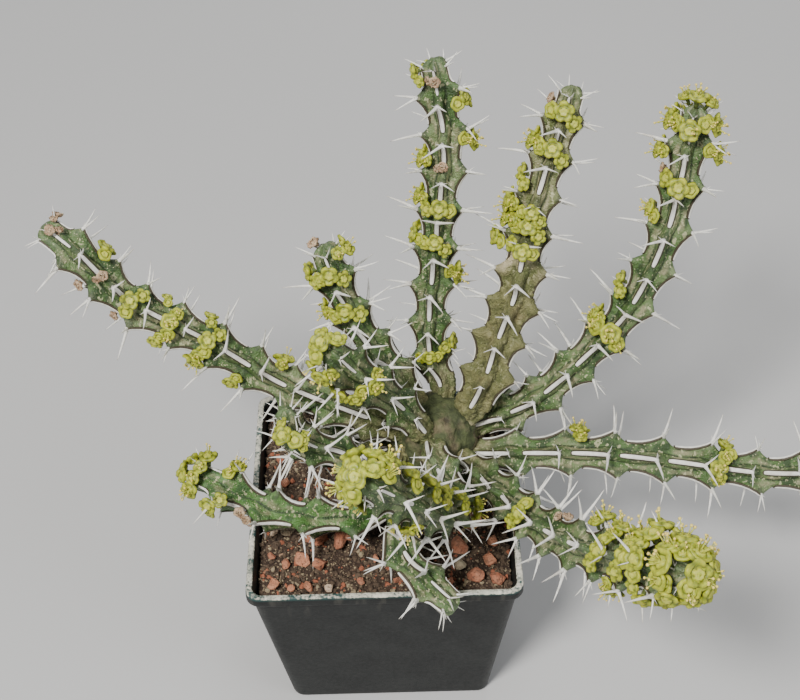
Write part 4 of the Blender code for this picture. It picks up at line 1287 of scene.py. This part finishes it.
def petal_finish():
    """Waxy yellow-green with painted shade in the cup, under and between the lobes, paler at its middle,
    brown where dried up.
    """
    finish = Finish("cyathia")
    tone, dry = finish.marked("tone"), finish.marked("dry")
    mottle = finish.clouds(1.6 * MM, 5.0)
    lobes = finish.mix(mottle, (0.190, 0.235, 0.012), (0.52, 0.54, 0.045))
    # Painted shade where the tone is the first one: under the lobes, deep in the cup and between them.
    cup_shaded = finish.mix((1 - tone).maths("MAXIMUM", 0.0) * 0.8, lobes, (0.085, 0.105, 0.010))
    centre = finish.mix(tone.between(1.2, 2.0) * 0.6, cup_shaded, (0.56, 0.56, 0.11))
    stalk = finish.mix(tone.between(2.3, 2.9), centre, (0.15, 0.19, 0.05))
    anther = finish.mix(tone.between(3.5, 3.9), stalk, (0.78, 0.62, 0.16))
    husk = finish.mix(mottle, (0.20, 0.105, 0.05), (0.60, 0.46, 0.30))
    colour = finish.mix(dry, anther, husk)
    return finish.made(colour, 0.38 + 0.25 * mottle + 0.3 * dry, mottle, 0.12 * MM,
                       Subsurface_Weight=0.08, Subsurface_Scale=0.001)


petals = petal_finish()
cymes = []
for kind in (RIPE, OPEN, YOUNG, DRY):
    cymes += [cyme_shape(f"cyme_{kind}_{i}", kind, 60 + 7 * kind + i) for i in range(VARIANTS)]
flowering = flower_tree(pattern_set("cyme_shapes", cymes), petals)
for name, groups in FLOWERS.items():
    axis = shown_nowhere("axis_lent", axis_mesh(STEMS[name]["points"]))
    grown = flowering.run(flower_points(groups), Axis=axis, **stem_values(STEMS[name]))
    bpy.data.objects.remove(axis)
    nodes = [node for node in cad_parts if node.startswith(f"flowers_{name}_")]
    add_piece(f"flower_heads_{name}", grown, petals, "cyathia", *nodes)

# --- Studio ------------------------------------------------------------------------------------
# A plain pale floor, large soft lights and the camera, which looks down on the plant from the front.

CAMERA_PLACE = Vector((9.7, -291.3, 417.7)) * MM
CAMERA_DOWN = math.radians(45.2)
CAMERA_YAW = math.radians(0.62)
CAMERA_ROLL = math.radians(-2.06)
CAMERA_LENS = 67.5
FLOOR_REACH = 6
LIT_PLACE = Vector((0, 0, 0.09))


def add_floor():
    """A plain pale sheet, far wider than the view."""
    corners = [(x * FLOOR_REACH, y * FLOOR_REACH, 0) for x, y in ((-1, -1), (1, -1), (1, 1), (-1, 1))]
    mesh = bpy.data.meshes.new("floor")
    mesh.from_pydata(corners, [], [(0, 1, 2, 3)])
    finish = Finish("studio floor")
    tone = finish.mix(finish.clouds(0.4, 3.0), (0.46, 0.46, 0.455), (0.49, 0.49, 0.485))
    mesh.materials.append(finish.made(tone, 0.8 + 0.05 * finish.clouds(0.02)))
    set_out("floor", mesh)


def add_light(name, place, size, power, colour=(1, 1, 1)):
    """A soft round lamp, aimed at the plant."""
    light = bpy.data.lights.new(name, "AREA")
    light.shape = "DISK"
    light.size = size
    light.energy = power
    light.color = colour
    lamp = set_out(name, light)
    lamp.location = place
    lamp.rotation_euler = (LIT_PLACE - Vector(place)).to_track_quat("-Z", "Y").to_euler()


def add_camera():
    """The camera, above the plant and in front of it."""
    camera = set_out("camera", bpy.data.cameras.new("camera"))
    camera.data.lens = CAMERA_LENS
    camera.data.sensor_width = 36
    camera.data.clip_start = 0.01
    turn = Matrix.Rotation(CAMERA_YAW, 4, "Z") @ Matrix.Rotation(math.pi / 2 - CAMERA_DOWN, 4, "X")
    camera.matrix_world = Matrix.Translation(CAMERA_PLACE) @ turn @ Matrix.Rotation(CAMERA_ROLL, 4, "Z")
    bpy.context.scene.camera = camera


add_floor()
add_light("key", (-0.35, -0.60, 1.05), 0.28, 21.0, (1.0, 0.98, 0.95))
add_light("fill", (0.9, -0.5, 0.6), 0.7, 4.5, (0.95, 0.97, 1.0))
add_light("back", (0.1, 0.9, 0.8), 0.6, 5.0)
world = bpy.data.worlds.new("studio")
world.use_nodes = True
background = world.node_tree.nodes["Background"]
background.inputs["Color"].default_value = (0.93, 0.95, 1.0, 1)
background.inputs["Strength"].default_value = 0.22
bpy.context.scene.world = world
add_camera()
